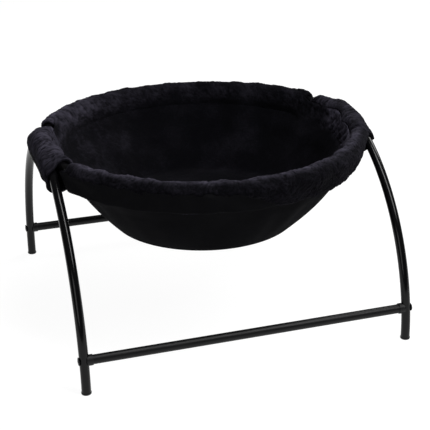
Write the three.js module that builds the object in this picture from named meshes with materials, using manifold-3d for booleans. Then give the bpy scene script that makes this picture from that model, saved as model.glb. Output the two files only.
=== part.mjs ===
// A round hammock bed for a cat: a plush sling hung in a bolted frame of bent steel tube.
// Millimetres. +X is to the right, +Y to the rear, +Z up. The origin is on the floor, under the middle.
import * as THREE from "three";
import { mergeVertices } from "three/addons/utils/BufferGeometryUtils.js";
import Module from "manifold-3d";

const wasm = await Module();
wasm.setup();

// Overall sizes
const ARCH_SPACING = 430; // between the planes of the two arches
const FOOT_SPACING = 430; // between the two feet of one arch

// Tube
const TUBE_RADIUS = 6;
const TUBE_WALL = 1.2;
const LEG_BEND_RADIUS = 252;
const TOP_BEND_RADIUS = 145;
const LEG_STRAIGHT_TOP = 5; // height at which a leg starts to bend
const CROSSBAR_HEIGHT = 44.3;

// Gaps and the one overrun of every cut
const GAP = 0.3;
const SLEEVE_PLAY = 1;
const OVERRUN = 2;

// Facets
const TUBE_SIDES = 12;
const BORE_SIDES = 8;
const ARCH_STEPS = 40;
const ARCH_DIVISIONS = 320;
const ROUND_SIDES = 12;
const BOWL_SIDES = 40;
const CLOTH_SIDES = 12;

const HALF_SPACING = ARCH_SPACING / 2;
const HALF_FEET = FOOT_SPACING / 2;
const BORE_RADIUS = TUBE_RADIUS - TUBE_WALL;

// Materials
const coatedSteel = { color: 0x17171a, roughness: 0.35, metalness: 0.3 };
const zincSteel = { color: 0xa8a9ab, roughness: 0.35, metalness: 1 };
const blackPlastic = { color: 0x101012, roughness: 0.55, metalness: 0 };
const blackPlush = { color: 0x1b1a20, roughness: 1, metalness: 0 };
const blackCloth = { color: 0x0f0f11, roughness: 0.9, metalness: 0 };
const whiteWadding = { color: 0xd8d6d0, roughness: 1, metalness: 0 };

const bed = new THREE.Group();
bed.name = "elevated_cat_bed";

// Solids: join, cut and give back a geometry
function toSolid(geometry) {
  const plain = geometry.clone();
  plain.deleteAttribute("normal");
  plain.deleteAttribute("uv");
  const merged = mergeVertices(plain, 1e-3);
  const vertProperties = new Float32Array(merged.attributes.position.array);
  const triVerts = new Uint32Array(merged.index.array);
  const solid = new wasm.Manifold(new wasm.Mesh({ numProp: 3, vertProperties, triVerts }));
  if (solid.volume() > 0) return solid;
  for (let i = 0; i < triVerts.length; i += 3) {
    const second = triVerts[i + 1];
    triVerts[i + 1] = triVerts[i + 2];
    triVerts[i + 2] = second;
  }
  return new wasm.Manifold(new wasm.Mesh({ numProp: 3, vertProperties, triVerts }));
}

function toGeometry(solid) {
  const mesh = solid.getMesh();
  const geometry = new THREE.BufferGeometry();
  geometry.setAttribute("position", new THREE.BufferAttribute(mesh.vertProperties, mesh.numProp));
  geometry.setIndex(new THREE.BufferAttribute(mesh.triVerts, 1));
  geometry.computeVertexNormals();
  return geometry;
}

function addPiece(name, solid, look) {
  const piece = new THREE.Mesh(toGeometry(solid), new THREE.MeshStandardMaterial(look));
  piece.name = name;
  bed.add(piece);
}

// A ring of points round the origin of a section
function circlePoints(radius, sides) {
  const points = [];
  for (let i = 0; i < sides; i++) {
    const angle = (i / sides) * 2 * Math.PI;
    points.push(new THREE.Vector2(radius * Math.cos(angle), radius * Math.sin(angle)));
  }
  return points;
}

function tubeShape() {
  const shape = new THREE.Shape(circlePoints(TUBE_RADIUS, TUBE_SIDES));
  shape.holes.push(new THREE.Path(circlePoints(BORE_RADIUS, BORE_SIDES)));
  return shape;
}

// A straight round bar along X, from one x to another
function barAlongX(radius, fromX, toX, sides = ROUND_SIDES) {
  const bar = new THREE.CylinderGeometry(radius, radius, Math.abs(toX - fromX), sides);
  bar.rotateZ(Math.PI / 2);
  bar.translate((fromX + toX) / 2, 0, 0);
  return bar;
}

// A turned piece: a profile of [radius, distance] turned about the X axis, pointing along +X
function turnedAlongX(profile, sides = ROUND_SIDES) {
  const points = profile.map(([radius, along]) => new THREE.Vector2(radius, along));
  return new THREE.LatheGeometry(points, sides).rotateZ(-Math.PI / 2);
}

// The arch: two leg bends and a tighter top bend, all in one plane and tangent to each other
const legBendY = HALF_FEET - LEG_BEND_RADIUS;
const topBendZ = LEG_STRAIGHT_TOP + Math.sqrt((LEG_BEND_RADIUS - TOP_BEND_RADIUS) ** 2 - legBendY ** 2);
const bendMeetAngle = Math.atan2(topBendZ - LEG_STRAIGHT_TOP, -legBendY);
const FOOT_FLANGE = 2.5;
const legStraightLength = LEG_STRAIGHT_TOP - FOOT_FLANGE - GAP;
const legBendLength = LEG_BEND_RADIUS * bendMeetAngle;
const topBendLength = TOP_BEND_RADIUS * (Math.PI - 2 * bendMeetAngle);
const archLength = 2 * (legStraightLength + legBendLength) + topBendLength;

class ArchCurve extends THREE.Curve {
  getPoint(t) {
    const fromEnd = Math.min(t, 1 - t) * archLength;
    const side = t < 0.5 ? -1 : 1;
    if (fromEnd < legStraightLength)
      return new THREE.Vector3(0, side * HALF_FEET, FOOT_FLANGE + GAP + fromEnd);
    const bent = fromEnd - legStraightLength;
    if (bent < legBendLength) {
      const angle = bent / LEG_BEND_RADIUS;
      const y = legBendY + LEG_BEND_RADIUS * Math.cos(angle);
      return new THREE.Vector3(0, side * y, LEG_STRAIGHT_TOP + LEG_BEND_RADIUS * Math.sin(angle));
    }
    const angle = bendMeetAngle + (bent - legBendLength) / TOP_BEND_RADIUS;
    const y = TOP_BEND_RADIUS * Math.cos(angle);
    return new THREE.Vector3(0, side * y, topBendZ + TOP_BEND_RADIUS * Math.sin(angle));
  }
}

// Height and slope angle of the arch's centreline at a distance y from its middle
const bendMeetY = TOP_BEND_RADIUS * Math.cos(bendMeetAngle);
function archAt(y) {
  const away = Math.abs(y);
  if (away < bendMeetY) {
    const rise = Math.sqrt(TOP_BEND_RADIUS ** 2 - away ** 2);
    return { z: topBendZ + rise, slope: Math.atan2(away, rise) };
  }
  const rise = Math.sqrt(LEG_BEND_RADIUS ** 2 - (away - legBendY) ** 2);
  return { z: LEG_STRAIGHT_TOP + rise, slope: Math.atan2(away - legBendY, rise) };
}

// The leg's place and lean at the crossbar's height
const barAngle = Math.asin((CROSSBAR_HEIGHT - LEG_STRAIGHT_TOP) / LEG_BEND_RADIUS);
const CROSSBAR_Y = legBendY + LEG_BEND_RADIUS * Math.cos(barAngle);

// Bolts, bushes and their holes
const BOLT_RADIUS = 3;
const BOLT_HOLE_RADIUS = BOLT_RADIUS + GAP;
const HEAD_RADIUS = 5.2;
const HEAD_HEIGHT = 3.3;
const SOCKET_RADIUS = 2.3;
const SOCKET_DEPTH = 1.8;
const SOCKET_SIDES = 6;
const BUSH_RADIUS = 4;
const BUSH_HOLE_RADIUS = BUSH_RADIUS + GAP;

// The flattened end of a rim tube: where its bolt is, how thick it is pressed and how far it runs
const RIM_BOLT_Y = 42;
const TAB_THICKNESS = 4;
const TAB_END = 11; // from the bolt to the tab's end
const TAB_BEND_START = 5.6; // from the bolt the other way, to where the tab bends into the ring
const TAB_BEND_RADIUS = 30;
const PRESS_FLAT = 20; // pressed fully flat from the end to here
const PRESS_FADE = 16; // and round again this much further
const PRESS_SPREAD_SHARE = 1.36; // the pressed tube grows this much wider
const TAB_STEPS = 5;
const RIM_ARC_STEPS = 20;
const DROOP_DEGREES = 1;
const rimDroop = THREE.MathUtils.degToRad(DROOP_DEGREES);
const tabX = HALF_SPACING - TUBE_RADIUS - GAP - TAB_THICKNESS / 2;
const rimHeight = archAt(RIM_BOLT_Y).z;
const tabBendY = RIM_BOLT_Y + TAB_BEND_START;
const tabStraight = TAB_END + TAB_BEND_START;

// The ring's radius is the one that is tangent to the tabs' bends with its middle on the Z axis
const tabBendAngle = Math.atan2(tabBendY, tabX - TAB_BEND_RADIUS);
const rimRadius = TAB_BEND_RADIUS + Math.hypot(tabX - TAB_BEND_RADIUS, tabBendY);

// Arches, with the bolt holes drilled through
function makeArch(side) {
  const path = new ArchCurve();
  path.arcLengthDivisions = ARCH_DIVISIONS;
  const bent = new THREE.ExtrudeGeometry(tubeShape(), {
    steps: ARCH_STEPS,
    extrudePath: path,
    bevelEnabled: false,
  });
  bent.translate(side * HALF_SPACING, 0, 0);
  let arch = toSolid(bent);
  const outside = side * (HALF_SPACING + TUBE_RADIUS + OVERRUN);
  const inside = side * (HALF_SPACING - TUBE_RADIUS - OVERRUN);
  const middle = side * HALF_SPACING;
  for (const end of [-1, 1]) {
    const barHole = barAlongX(BOLT_HOLE_RADIUS, inside, outside);
    barHole.translate(0, end * CROSSBAR_Y, CROSSBAR_HEIGHT);
    arch = arch.subtract(toSolid(barHole));
    const bushHole = barAlongX(BUSH_HOLE_RADIUS, inside, middle);
    bushHole.translate(0, end * RIM_BOLT_Y, rimHeight);
    arch = arch.subtract(toSolid(bushHole));
  }
  return arch;
}

addPiece("left_arch", makeArch(-1), coatedSteel);
addPiece("right_arch", makeArch(1), coatedSteel);

// Crossbars, saddles, bolts and threaded plugs: one set for each of the four low corners
const SADDLE_WALL = 1;
const SADDLE_LENGTH = 5; // from the leg's inner side to the saddle's open face
const SADDLE_WRAP = 3; // and from there the other way, round the leg
const SADDLE_SOCKET = 2; // how deep the bar's end sits in the saddle
const PLUG_LENGTH = 14;
const saddleRadius = TUBE_RADIUS + SADDLE_WALL;
const barEnd = HALF_SPACING - TUBE_RADIUS - SADDLE_LENGTH + SADDLE_SOCKET - GAP;
const CAP_STEM_RADIUS = BORE_RADIUS * Math.cos(Math.PI / BORE_SIDES) - GAP;

function makeCrossbar(end) {
  const outer = toSolid(barAlongX(TUBE_RADIUS, -barEnd, barEnd));
  const bore = toSolid(barAlongX(BORE_RADIUS, -barEnd - OVERRUN, barEnd + OVERRUN));
  return outer.subtract(bore).translate([0, end * CROSSBAR_Y, CROSSBAR_HEIGHT]);
}

addPiece("front_crossbar", makeCrossbar(-1), coatedSteel);
addPiece("rear_crossbar", makeCrossbar(1), coatedSteel);

// A button-head bolt with a hexagon socket: its head's underside at 0, its shank along +X
const DOME_SHARES = [
  { wide: 0.62, high: 0.97 },
  { wide: 0.85, high: 0.62 },
  { wide: 1, high: 0.12 },
];

function makeBolt(length) {
  const profile = [
    [0, -HEAD_HEIGHT],
    ...DOME_SHARES.map(({ wide, high }) => [HEAD_RADIUS * wide, -HEAD_HEIGHT * high]),
    [HEAD_RADIUS, 0],
    [BOLT_RADIUS, 0],
    [BOLT_RADIUS, length],
    [0, length],
  ];
  const socketFloor = SOCKET_DEPTH - HEAD_HEIGHT;
  const socket = barAlongX(SOCKET_RADIUS, -HEAD_HEIGHT - OVERRUN, socketFloor, SOCKET_SIDES);
  return toSolid(turnedAlongX(profile)).subtract(toSolid(socket));
}

// A threaded bush: a short tube along +X from 0
function makeBush(radius, length) {
  const wall = toSolid(barAlongX(radius, 0, length));
  return wall.subtract(toSolid(barAlongX(BOLT_HOLE_RADIUS, -OVERRUN, length + OVERRUN)));
}

const corners = [
  { name: "front_left", side: -1, end: -1 },
  { name: "front_right", side: 1, end: -1 },
  { name: "rear_left", side: -1, end: 1 },
  { name: "rear_right", side: 1, end: 1 },
];

// Puts a piece made along +X at a corner, pointing inwards or outwards there
function placeAlongX(solid, x, y, z, direction) {
  const turned = direction < 0 ? solid.rotate([0, 0, 180]) : solid;
  return turned.translate([x, y, z]);
}

const barBoltLength = 2 * TUBE_RADIUS + SADDLE_LENGTH + PLUG_LENGTH / 2;
const plugRadius = BORE_RADIUS * Math.cos(Math.PI / ROUND_SIDES) - GAP;

for (const { name, side, end } of corners) {
  const y = end * CROSSBAR_Y;
  const legInside = HALF_SPACING - TUBE_RADIUS;
  const openFace = side * (legInside - SADDLE_LENGTH);
  const wrapEnd = side * (legInside + SADDLE_WRAP);

  // The saddle: a collar that is hollowed to the leg's round on one side and takes the bar on the other
  const socketFloor = side * (barEnd + GAP);
  const overrun = side * OVERRUN;
  let saddle = toSolid(barAlongX(saddleRadius, openFace, wrapEnd));
  saddle = saddle.subtract(toSolid(barAlongX(TUBE_RADIUS + GAP, openFace - overrun, socketFloor)));
  saddle = saddle.subtract(toSolid(barAlongX(BOLT_HOLE_RADIUS, openFace, wrapEnd + overrun)));
  saddle = saddle.translate([0, y, CROSSBAR_HEIGHT]);
  const legRadius = TUBE_RADIUS + GAP;
  const legRun = 2 * (saddleRadius + OVERRUN);
  const leg = new THREE.CylinderGeometry(legRadius, legRadius, legRun, ROUND_SIDES * 2);
  leg.rotateX(Math.PI / 2 + end * barAngle);
  leg.translate(side * HALF_SPACING, y, CROSSBAR_HEIGHT);
  addPiece("crossbar_saddle_" + name, saddle.subtract(toSolid(leg)), blackPlastic);

  const boltSeat = side * (HALF_SPACING + TUBE_RADIUS + GAP);
  const barBolt = placeAlongX(makeBolt(barBoltLength), boltSeat, y, CROSSBAR_HEIGHT, -side);
  addPiece("crossbar_bolt_" + name, barBolt, coatedSteel);

  const plug = placeAlongX(makeBush(plugRadius, PLUG_LENGTH), side * barEnd, y, CROSSBAR_HEIGHT, -side);
  addPiece("crossbar_insert_" + name, plug, zincSteel);
}

// Foot caps: a rounded disc under the tube and a ribbed stem up inside it
const CAP_EDGE = 1.2; // the disc's rounded lower edge
const CAP_EDGE_SHARE = 0.3; // how far in and up the middle of that round lies
const CAP_STEM_LENGTH = 12;
const CAP_RIB = 0.25;
const CAP_RIBS = 2;
const CAP_RIB_LEAD = 1.2; // a rib's long upper slope, and its short lower one
const CAP_RIB_BACK = 0.36;

function makeFootCap() {
  const profile = [
    [0, 0],
    [TUBE_RADIUS - CAP_EDGE, 0],
    [TUBE_RADIUS - CAP_EDGE * CAP_EDGE_SHARE, CAP_EDGE * CAP_EDGE_SHARE],
    [TUBE_RADIUS, CAP_EDGE],
    [TUBE_RADIUS, FOOT_FLANGE],
    [CAP_STEM_RADIUS - CAP_RIB, FOOT_FLANGE],
  ];
  const pitch = CAP_STEM_LENGTH / (CAP_RIBS + 1);
  for (let rib = 1; rib <= CAP_RIBS; rib++) {
    const middle = FOOT_FLANGE + rib * pitch;
    profile.push([CAP_STEM_RADIUS - CAP_RIB, middle - CAP_RIB_BACK]);
    profile.push([CAP_STEM_RADIUS, middle]);
    profile.push([CAP_STEM_RADIUS - CAP_RIB, middle + CAP_RIB_LEAD]);
  }
  profile.push([CAP_STEM_RADIUS - CAP_RIB, FOOT_FLANGE + CAP_STEM_LENGTH]);
  profile.push([0, FOOT_FLANGE + CAP_STEM_LENGTH]);
  const points = profile.map(([radius, z]) => new THREE.Vector2(radius, z));
  return toSolid(new THREE.LatheGeometry(points, ROUND_SIDES).rotateX(Math.PI / 2));
}

for (const { name, side, end } of corners) {
  const cap = makeFootCap().translate([side * HALF_SPACING, end * HALF_FEET, 0]);
  addPiece("foot_cap_" + name, cap, blackPlastic);
}

// A skin over stations: each station has an outer loop and an inner loop of as many points, and the
// first and last stations are closed by a flat ring between the two loops
function skinStations(stations) {
  const count = stations[0].outer.length;
  const positions = [];
  const index = [];
  for (const { outer, inner } of stations)
    for (const point of [...outer, ...inner]) positions.push(point.x, point.y, point.z);
  const at = (station, loop, i) => (station * 2 + loop) * count + (i % count);
  const quad = (a, b, c, d) => index.push(a, b, c, a, c, d);
  for (let i = 0; i < count; i++) {
    for (let s = 0; s + 1 < stations.length; s++) {
      quad(at(s, 0, i), at(s, 0, i + 1), at(s + 1, 0, i + 1), at(s + 1, 0, i));
      quad(at(s, 1, i + 1), at(s, 1, i), at(s + 1, 1, i), at(s + 1, 1, i + 1));
    }
    const last = stations.length - 1;
    quad(at(0, 0, i + 1), at(0, 0, i), at(0, 1, i), at(0, 1, i + 1));
    quad(at(last, 0, i), at(last, 0, i + 1), at(last, 1, i + 1), at(last, 1, i));
  }
  const geometry = new THREE.BufferGeometry();
  geometry.setAttribute("position", new THREE.Float32BufferAttribute(positions, 3));
  geometry.setIndex(index);
  return toSolid(geometry);
}

// Rim tubes: a round arc whose ends turn parallel to the arches and are pressed flat for the bolt
const rimArcLength = rimRadius * (Math.PI - 2 * tabBendAngle);
const tabBendLength = TAB_BEND_RADIUS * tabBendAngle;
const rimLength = rimArcLength + 2 * (tabBendLength + tabStraight);

// The rim's centreline in its own plane, as the place and the direction at a distance from the right end
function rimAt(along) {
  const fromEnd = Math.min(along, rimLength - along);
  const side = along <= rimLength / 2 ? 1 : -1;
  let place;
  if (fromEnd < tabStraight)
    place = { x: tabX, y: tabBendY - tabStraight + fromEnd, turn: 0 };
  else if (fromEnd < tabStraight + tabBendLength) {
    const turn = (fromEnd - tabStraight) / TAB_BEND_RADIUS;
    place = {
      x: tabX - TAB_BEND_RADIUS + TAB_BEND_RADIUS * Math.cos(turn),
      y: tabBendY + TAB_BEND_RADIUS * Math.sin(turn),
      turn,
    };
  } else {
    const turn = tabBendAngle + (fromEnd - tabStraight - tabBendLength) / rimRadius;
    place = { x: rimRadius * Math.cos(turn), y: rimRadius * Math.sin(turn), turn };
  }
  const outX = side * Math.cos(place.turn);
  return { x: side * place.x, y: place.y, outX, outY: Math.sin(place.turn), fromEnd };
}

// The section's loop at one station: a circle brought to the press faces, and spread to keep its girth
function pressedLoop(place, radius, halfThickness) {
  const pressed = 1 - THREE.MathUtils.smoothstep(place.fromEnd, PRESS_FLAT, PRESS_FLAT + PRESS_FADE);
  const face = THREE.MathUtils.lerp(radius, halfThickness, pressed);
  const spread = THREE.MathUtils.lerp(1, PRESS_SPREAD_SHARE, pressed);
  return circlePoints(radius, TUBE_SIDES).map((point) => {
    const out = THREE.MathUtils.clamp(point.x, -face, face);
    return new THREE.Vector3(place.x + out * place.outX, place.y + out * place.outY, point.y * spread);
  });
}

// Where the stations are: close together in the pressed ends, wide apart on the arc
function rimStations() {
  const tabLength = PRESS_FLAT + PRESS_FADE;
  const arcStep = (rimLength - 2 * tabLength) / RIM_ARC_STEPS;
  const along = [];
  for (let i = 0; i < TAB_STEPS; i++) along.push((i / TAB_STEPS) * tabLength);
  for (let i = 0; i <= RIM_ARC_STEPS; i++) along.push(tabLength + i * arcStep);
  for (let i = TAB_STEPS - 1; i >= 0; i--) along.push(rimLength - (i / TAB_STEPS) * tabLength);
  return along;
}

// A rim tube lies in one plane, which droops a little from its bolts
function droop(point, end) {
  const forward = point.y - RIM_BOLT_Y;
  const y = RIM_BOLT_Y + forward * Math.cos(rimDroop) + point.z * Math.sin(rimDroop);
  const z = rimHeight - forward * Math.sin(rimDroop) + point.z * Math.cos(rimDroop);
  return new THREE.Vector3(point.x, end * y, z);
}

function makeRimTube(end) {
  const slit = TAB_THICKNESS / 2 - TUBE_WALL;
  const stations = rimStations().map((along) => {
    const place = rimAt(along);
    return {
      outer: pressedLoop(place, TUBE_RADIUS, TAB_THICKNESS / 2).map((point) => droop(point, end)),
      inner: pressedLoop(place, BORE_RADIUS, slit).map((point) => droop(point, end)),
    };
  });
  let tube = skinStations(stations);
  const reach = TAB_THICKNESS / 2 + OVERRUN;
  for (const side of [-1, 1]) {
    const hole = barAlongX(BOLT_HOLE_RADIUS, side * (tabX - reach), side * (tabX + reach));
    hole.translate(0, end * RIM_BOLT_Y, rimHeight);
    tube = tube.subtract(toSolid(hole));
  }
  return tube;
}

addPiece("front_rim_tube", makeRimTube(-1), coatedSteel);
addPiece("rear_rim_tube", makeRimTube(1), coatedSteel);

// The rim's bolts, driven from the inside of the ring, and the bushes in the arches that take them
const bushFace = HALF_SPACING - TUBE_RADIUS + GAP;
const boreApothem = BORE_RADIUS * Math.cos(Math.PI / BORE_SIDES);
const bushLength = TUBE_RADIUS - 2 * GAP + Math.sqrt(boreApothem ** 2 - BUSH_RADIUS ** 2);
const rimBoltLength = TAB_THICKNESS + 2 * GAP + bushLength;

for (const { name, side, end } of corners) {
  const y = end * RIM_BOLT_Y;
  const seat = side * (tabX - TAB_THICKNESS / 2 - GAP);
  const rimBolt = placeAlongX(makeBolt(rimBoltLength), seat, y, rimHeight, side);
  addPiece("rim_bolt_" + name, rimBolt, coatedSteel);
  const bush = placeAlongX(makeBush(BUSH_RADIUS, bushLength), side * bushFace, y, rimHeight, side);
  addPiece("rim_insert_" + name, bush, zincSteel);
}

// Cloth pulled round what it holds: the outline round a set of ovals, grown by a thickness
function wrappedLoop(ovals, grow) {
  const loop = [];
  for (let i = 0; i < CLOTH_SIDES; i++) {
    const angle = ((i + 0.5) / CLOTH_SIDES) * 2 * Math.PI;
    const out = new THREE.Vector2(Math.cos(angle), Math.sin(angle));
    let best = null;
    for (const oval of ovals) {
      const reach = Math.hypot(oval.wide * out.x, oval.high * out.y);
      const far = oval.at * out.x + oval.z * out.y + reach;
      if (best && best.far >= far) continue;
      const touch = new THREE.Vector2(oval.wide ** 2 * out.x, oval.high ** 2 * out.y);
      touch.divideScalar(reach);
      touch.x += oval.at;
      touch.y += oval.z;
      best = { far, touch };
    }
    loop.push(best.touch.clone().addScaledVector(out, grow));
  }
  return loop;
}

// The four pockets
const POCKET_WALL = 4.5;
const SEAM_INSET = 3; // the pockets' lower seam runs this far inside the rim's centreline
const SEAM_DROP = 25.2; // and this far below the rim's bolts
const SEAM_ROUND = 1.2;
const FLAP_REACH = 3; // the side pockets' outer flap hangs this far outside the arch's plane
const LEG_CLEARANCE = 2.7; // from a leg to the nearest corner of an end pocket
const NOTCH_WIDTH = 10; // between a side pocket and an end pocket, where a leg comes out
const SIDE_STATIONS = 13;
const END_STATIONS = 21;
const CLOTH_TUCK = 38; // the side pockets draw in to the arch alone over this length

const pocketGrow = SLEEVE_PLAY;
const outerGrow = SLEEVE_PLAY + POCKET_WALL;
const headInside = tabX - TAB_THICKNESS / 2 - GAP - HEAD_HEIGHT;
const seamRadius = rimRadius - SEAM_INSET;
const seamHeight = rimHeight - SEAM_DROP;
const flapX = HALF_SPACING + FLAP_REACH;
const endPocketOutside = rimRadius + TUBE_RADIUS + outerGrow;
const endPocketAngle = Math.acos((HALF_SPACING - TUBE_RADIUS - LEG_CLEARANCE) / endPocketOutside);
const sidePocketHalf = rimRadius * Math.sin(endPocketAngle) - NOTCH_WIDTH;

function makeEndPocket(end) {
  const stations = [];
  for (let s = 0; s < END_STATIONS; s++) {
    const across = s / (END_STATIONS - 1);
    const angle = THREE.MathUtils.lerp(endPocketAngle, Math.PI - endPocketAngle, across);
    const outX = Math.cos(angle);
    const outY = end * Math.sin(angle);
    const tubeZ = rimHeight - (rimRadius * Math.sin(angle) - RIM_BOLT_Y) * Math.sin(rimDroop);
    const ovals = [
      { at: rimRadius, z: tubeZ, wide: TUBE_RADIUS, high: TUBE_RADIUS },
      { at: seamRadius, z: seamHeight, wide: SEAM_ROUND, high: SEAM_ROUND },
    ];
    const turn = (point) => new THREE.Vector3(point.x * outX, point.x * outY, point.y);
    stations.push({
      outer: wrappedLoop(ovals, outerGrow).map(turn),
      inner: wrappedLoop(ovals, pocketGrow).map(turn),
    });
  }
  return skinStations(stations);
}

addPiece("front_sleeve", makeEndPocket(-1), blackPlush);
addPiece("rear_sleeve", makeEndPocket(1), blackPlush);

function makeSidePocket(side) {
  const stations = [];
  for (let s = 0; s < SIDE_STATIONS; s++) {
    const y = THREE.MathUtils.lerp(-sidePocketHalf, sidePocketHalf, s / (SIDE_STATIONS - 1));
    const away = Math.abs(y);
    const arch = archAt(y);
    const reached = THREE.MathUtils.smoothstep(away, 0, CLOTH_TUCK);
    const ringAngle = Math.asin(away / rimRadius);
    const ringX = Math.min(tabX, rimRadius * Math.cos(ringAngle));
    const ringZ = rimHeight - Math.max(0, away - RIM_BOLT_Y) * Math.sin(rimDroop);
    const ringWide = Math.max(TUBE_RADIUS / Math.cos(ringAngle), tabX - headInside + GAP);
    const roundAgain = RIM_BOLT_Y + PRESS_FLAT + PRESS_FADE;
    const rounded = THREE.MathUtils.smoothstep(away, RIM_BOLT_Y, roundAgain);
    const ringHigh = TUBE_RADIUS * THREE.MathUtils.lerp(PRESS_SPREAD_SHARE, 1, rounded);
    const seamX = Math.sqrt(seamRadius ** 2 - y ** 2);
    const ovals = [
      { at: HALF_SPACING, z: arch.z, wide: TUBE_RADIUS, high: TUBE_RADIUS / Math.cos(arch.slope) },
      {
        at: THREE.MathUtils.lerp(HALF_SPACING, ringX, reached),
        z: THREE.MathUtils.lerp(arch.z, ringZ, reached),
        wide: ringWide,
        high: THREE.MathUtils.lerp(TUBE_RADIUS, ringHigh, reached),
      },
      { at: seamX, z: seamHeight, wide: SEAM_ROUND, high: SEAM_ROUND },
      { at: flapX, z: seamHeight, wide: SEAM_ROUND, high: SEAM_ROUND },
    ];
    const turn = (point) => new THREE.Vector3(side * point.x, y, point.y);
    stations.push({
      outer: wrappedLoop(ovals, outerGrow).map(turn),
      inner: wrappedLoop(ovals, pocketGrow).map(turn),
    });
  }
  return skinStations(stations);
}

addPiece("left_sleeve", makeSidePocket(-1), blackPlush);
addPiece("right_sleeve", makeSidePocket(1), blackPlush);

// The bowl: plush liner inside, smooth shell outside, and a wadding disc between them at the bottom
const SHELL_THICKNESS = 2;
const LINER_THICKNESS = 8;
const PAD_THICKNESS = 7;
const LINER_CROWN = 3; // how far the liner's top edge swells up in the middle of its thickness
const POCKET_CLEARANCE = 0.8; // from the pockets in to the shell's and the liner's top edges
const BASE_SAG = 5;
const WALL_STEPS = 7;
const BASE_STEPS = 3;

// How far each ring of the bowl lies below the rim's bolts, and inside the rim's centreline
const LINER_TOP_DROP = 4.2;
const SHELL_TOP_DROP = 22.2;
const SHOULDER_DROP = 36.2;
const SHOULDER_INSET = 12;
const WAIST_DROP = 99.2;
const WAIST_INSET = 67;
const BASE_DROP = 118.2;
const BASE_INSET = 84.5;

const linerTopHeight = rimHeight - LINER_TOP_DROP;
const shellTopHeight = rimHeight - SHELL_TOP_DROP;
const shoulderHeight = rimHeight - SHOULDER_DROP;
const baseHeight = rimHeight - BASE_DROP;
const baseRadius = rimRadius - BASE_INSET;
const shellTopRadius = seamRadius - SEAM_ROUND - outerGrow - POCKET_CLEARANCE;
const linerTopX = headInside - GAP - outerGrow;
const linerTopRadius = Math.hypot(linerTopX, RIM_BOLT_Y - HEAD_RADIUS) - POCKET_CLEARANCE;

// The sling's drape: shallow upright folds between rim and base, and a little hang to one side
const FOLD_DEPTH = 1.6;
const FOLD_COUNT = 9;
const FOLD_SECOND_COUNT = 5;
const FOLD_START_SHARE = 0.5; // the folds start this far out on the base
const HANG_SHIFT = 3.9;

function drape(geometry) {
  const place = geometry.attributes.position;
  const depth = shoulderHeight - baseHeight;
  for (let i = 0; i < place.count; i++) {
    const x = place.getX(i);
    const y = place.getY(i);
    const z = place.getZ(i);
    const radius = Math.hypot(x, y);
    const down = THREE.MathUtils.clamp((shoulderHeight - z) / depth, 0, 1);
    const out = THREE.MathUtils.smoothstep(radius, baseRadius * FOLD_START_SHARE, baseRadius);
    const angle = Math.atan2(y, x);
    const wave = Math.cos(FOLD_COUNT * angle) + Math.sin(FOLD_SECOND_COUNT * angle);
    const fold = FOLD_DEPTH * wave * Math.sin(Math.PI * down) * out;
    const scale = radius > 0 ? (radius + fold) / radius : 1;
    place.setXY(i, x * scale + HANG_SHIFT * down, y * scale);
  }
  return geometry;
}

// The outer surface of the shell's wall from its top edge down to the base seam
function wallProfile() {
  const shoulder = new THREE.Vector2(rimRadius - SHOULDER_INSET, shoulderHeight);
  const waist = new THREE.Vector2(rimRadius - WAIST_INSET, rimHeight - WAIST_DROP);
  const seam = new THREE.Vector2(baseRadius, baseHeight);
  const flank = new THREE.QuadraticBezierCurve(shoulder, waist, seam);
  return [new THREE.Vector2(shellTopRadius, shellTopHeight), ...flank.getSpacedPoints(WALL_STEPS)];
}

// The outer surface of the base from its rim to the middle, as a shallow dish
function baseProfile(fromRadius) {
  const points = [];
  for (let i = 0; i <= BASE_STEPS; i++) {
    const radius = fromRadius * (1 - i / BASE_STEPS);
    const sag = BASE_SAG * (1 - (radius / baseRadius) ** 2);
    points.push(new THREE.Vector2(radius, baseHeight - sag));
  }
  return points;
}

// A profile moved inwards by a distance along its own normals
function offsetProfile(points, distance) {
  return points.map((point, i) => {
    const before = points[Math.max(i - 1, 0)];
    const after = points[Math.min(i + 1, points.length - 1)];
    const along = after.clone().sub(before).normalize();
    return new THREE.Vector2(point.x + along.y * distance, point.y - along.x * distance);
  });
}

function raised(points, rise) {
  return points.map((point) => new THREE.Vector2(point.x, point.y + rise));
}

function revolve(profile, sides = BOWL_SIDES) {
  const clean = profile.map((point) => new THREE.Vector2(Math.max(0, point.x), point.y));
  return toSolid(drape(new THREE.LatheGeometry(clean, sides).rotateX(Math.PI / 2)));
}

// The shell's wall: a band of cloth of even thickness
const shellOuter = wallProfile();
const shellInner = offsetProfile(shellOuter, SHELL_THICKNESS);
addPiece("shell_wall", revolve([...shellOuter, ...shellInner.reverse(), shellOuter[0]]), blackCloth);

// The shell's round base panel, inside the wall's lower edge
const panelRadius = baseRadius - SHELL_THICKNESS - 2 * GAP;
const panelOuter = baseProfile(panelRadius);
const panelInner = raised(panelOuter, SHELL_THICKNESS);
addPiece("shell_base", revolve([...panelInner.reverse(), ...panelOuter].reverse()), blackCloth);

// The wadding disc on the base panel
const PAD_EDGE = 8; // from the base seam in to the pad's edge
const padRadius = baseRadius - PAD_EDGE;
const padRise = SHELL_THICKNESS + GAP;
const padLower = raised(baseProfile(padRadius), padRise);
const padUpper = raised(baseProfile(padRadius - PAD_THICKNESS / 2), padRise + PAD_THICKNESS);
addPiece("base_pad", revolve([...padUpper.reverse(), ...padLower].reverse()), whiteWadding);

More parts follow.
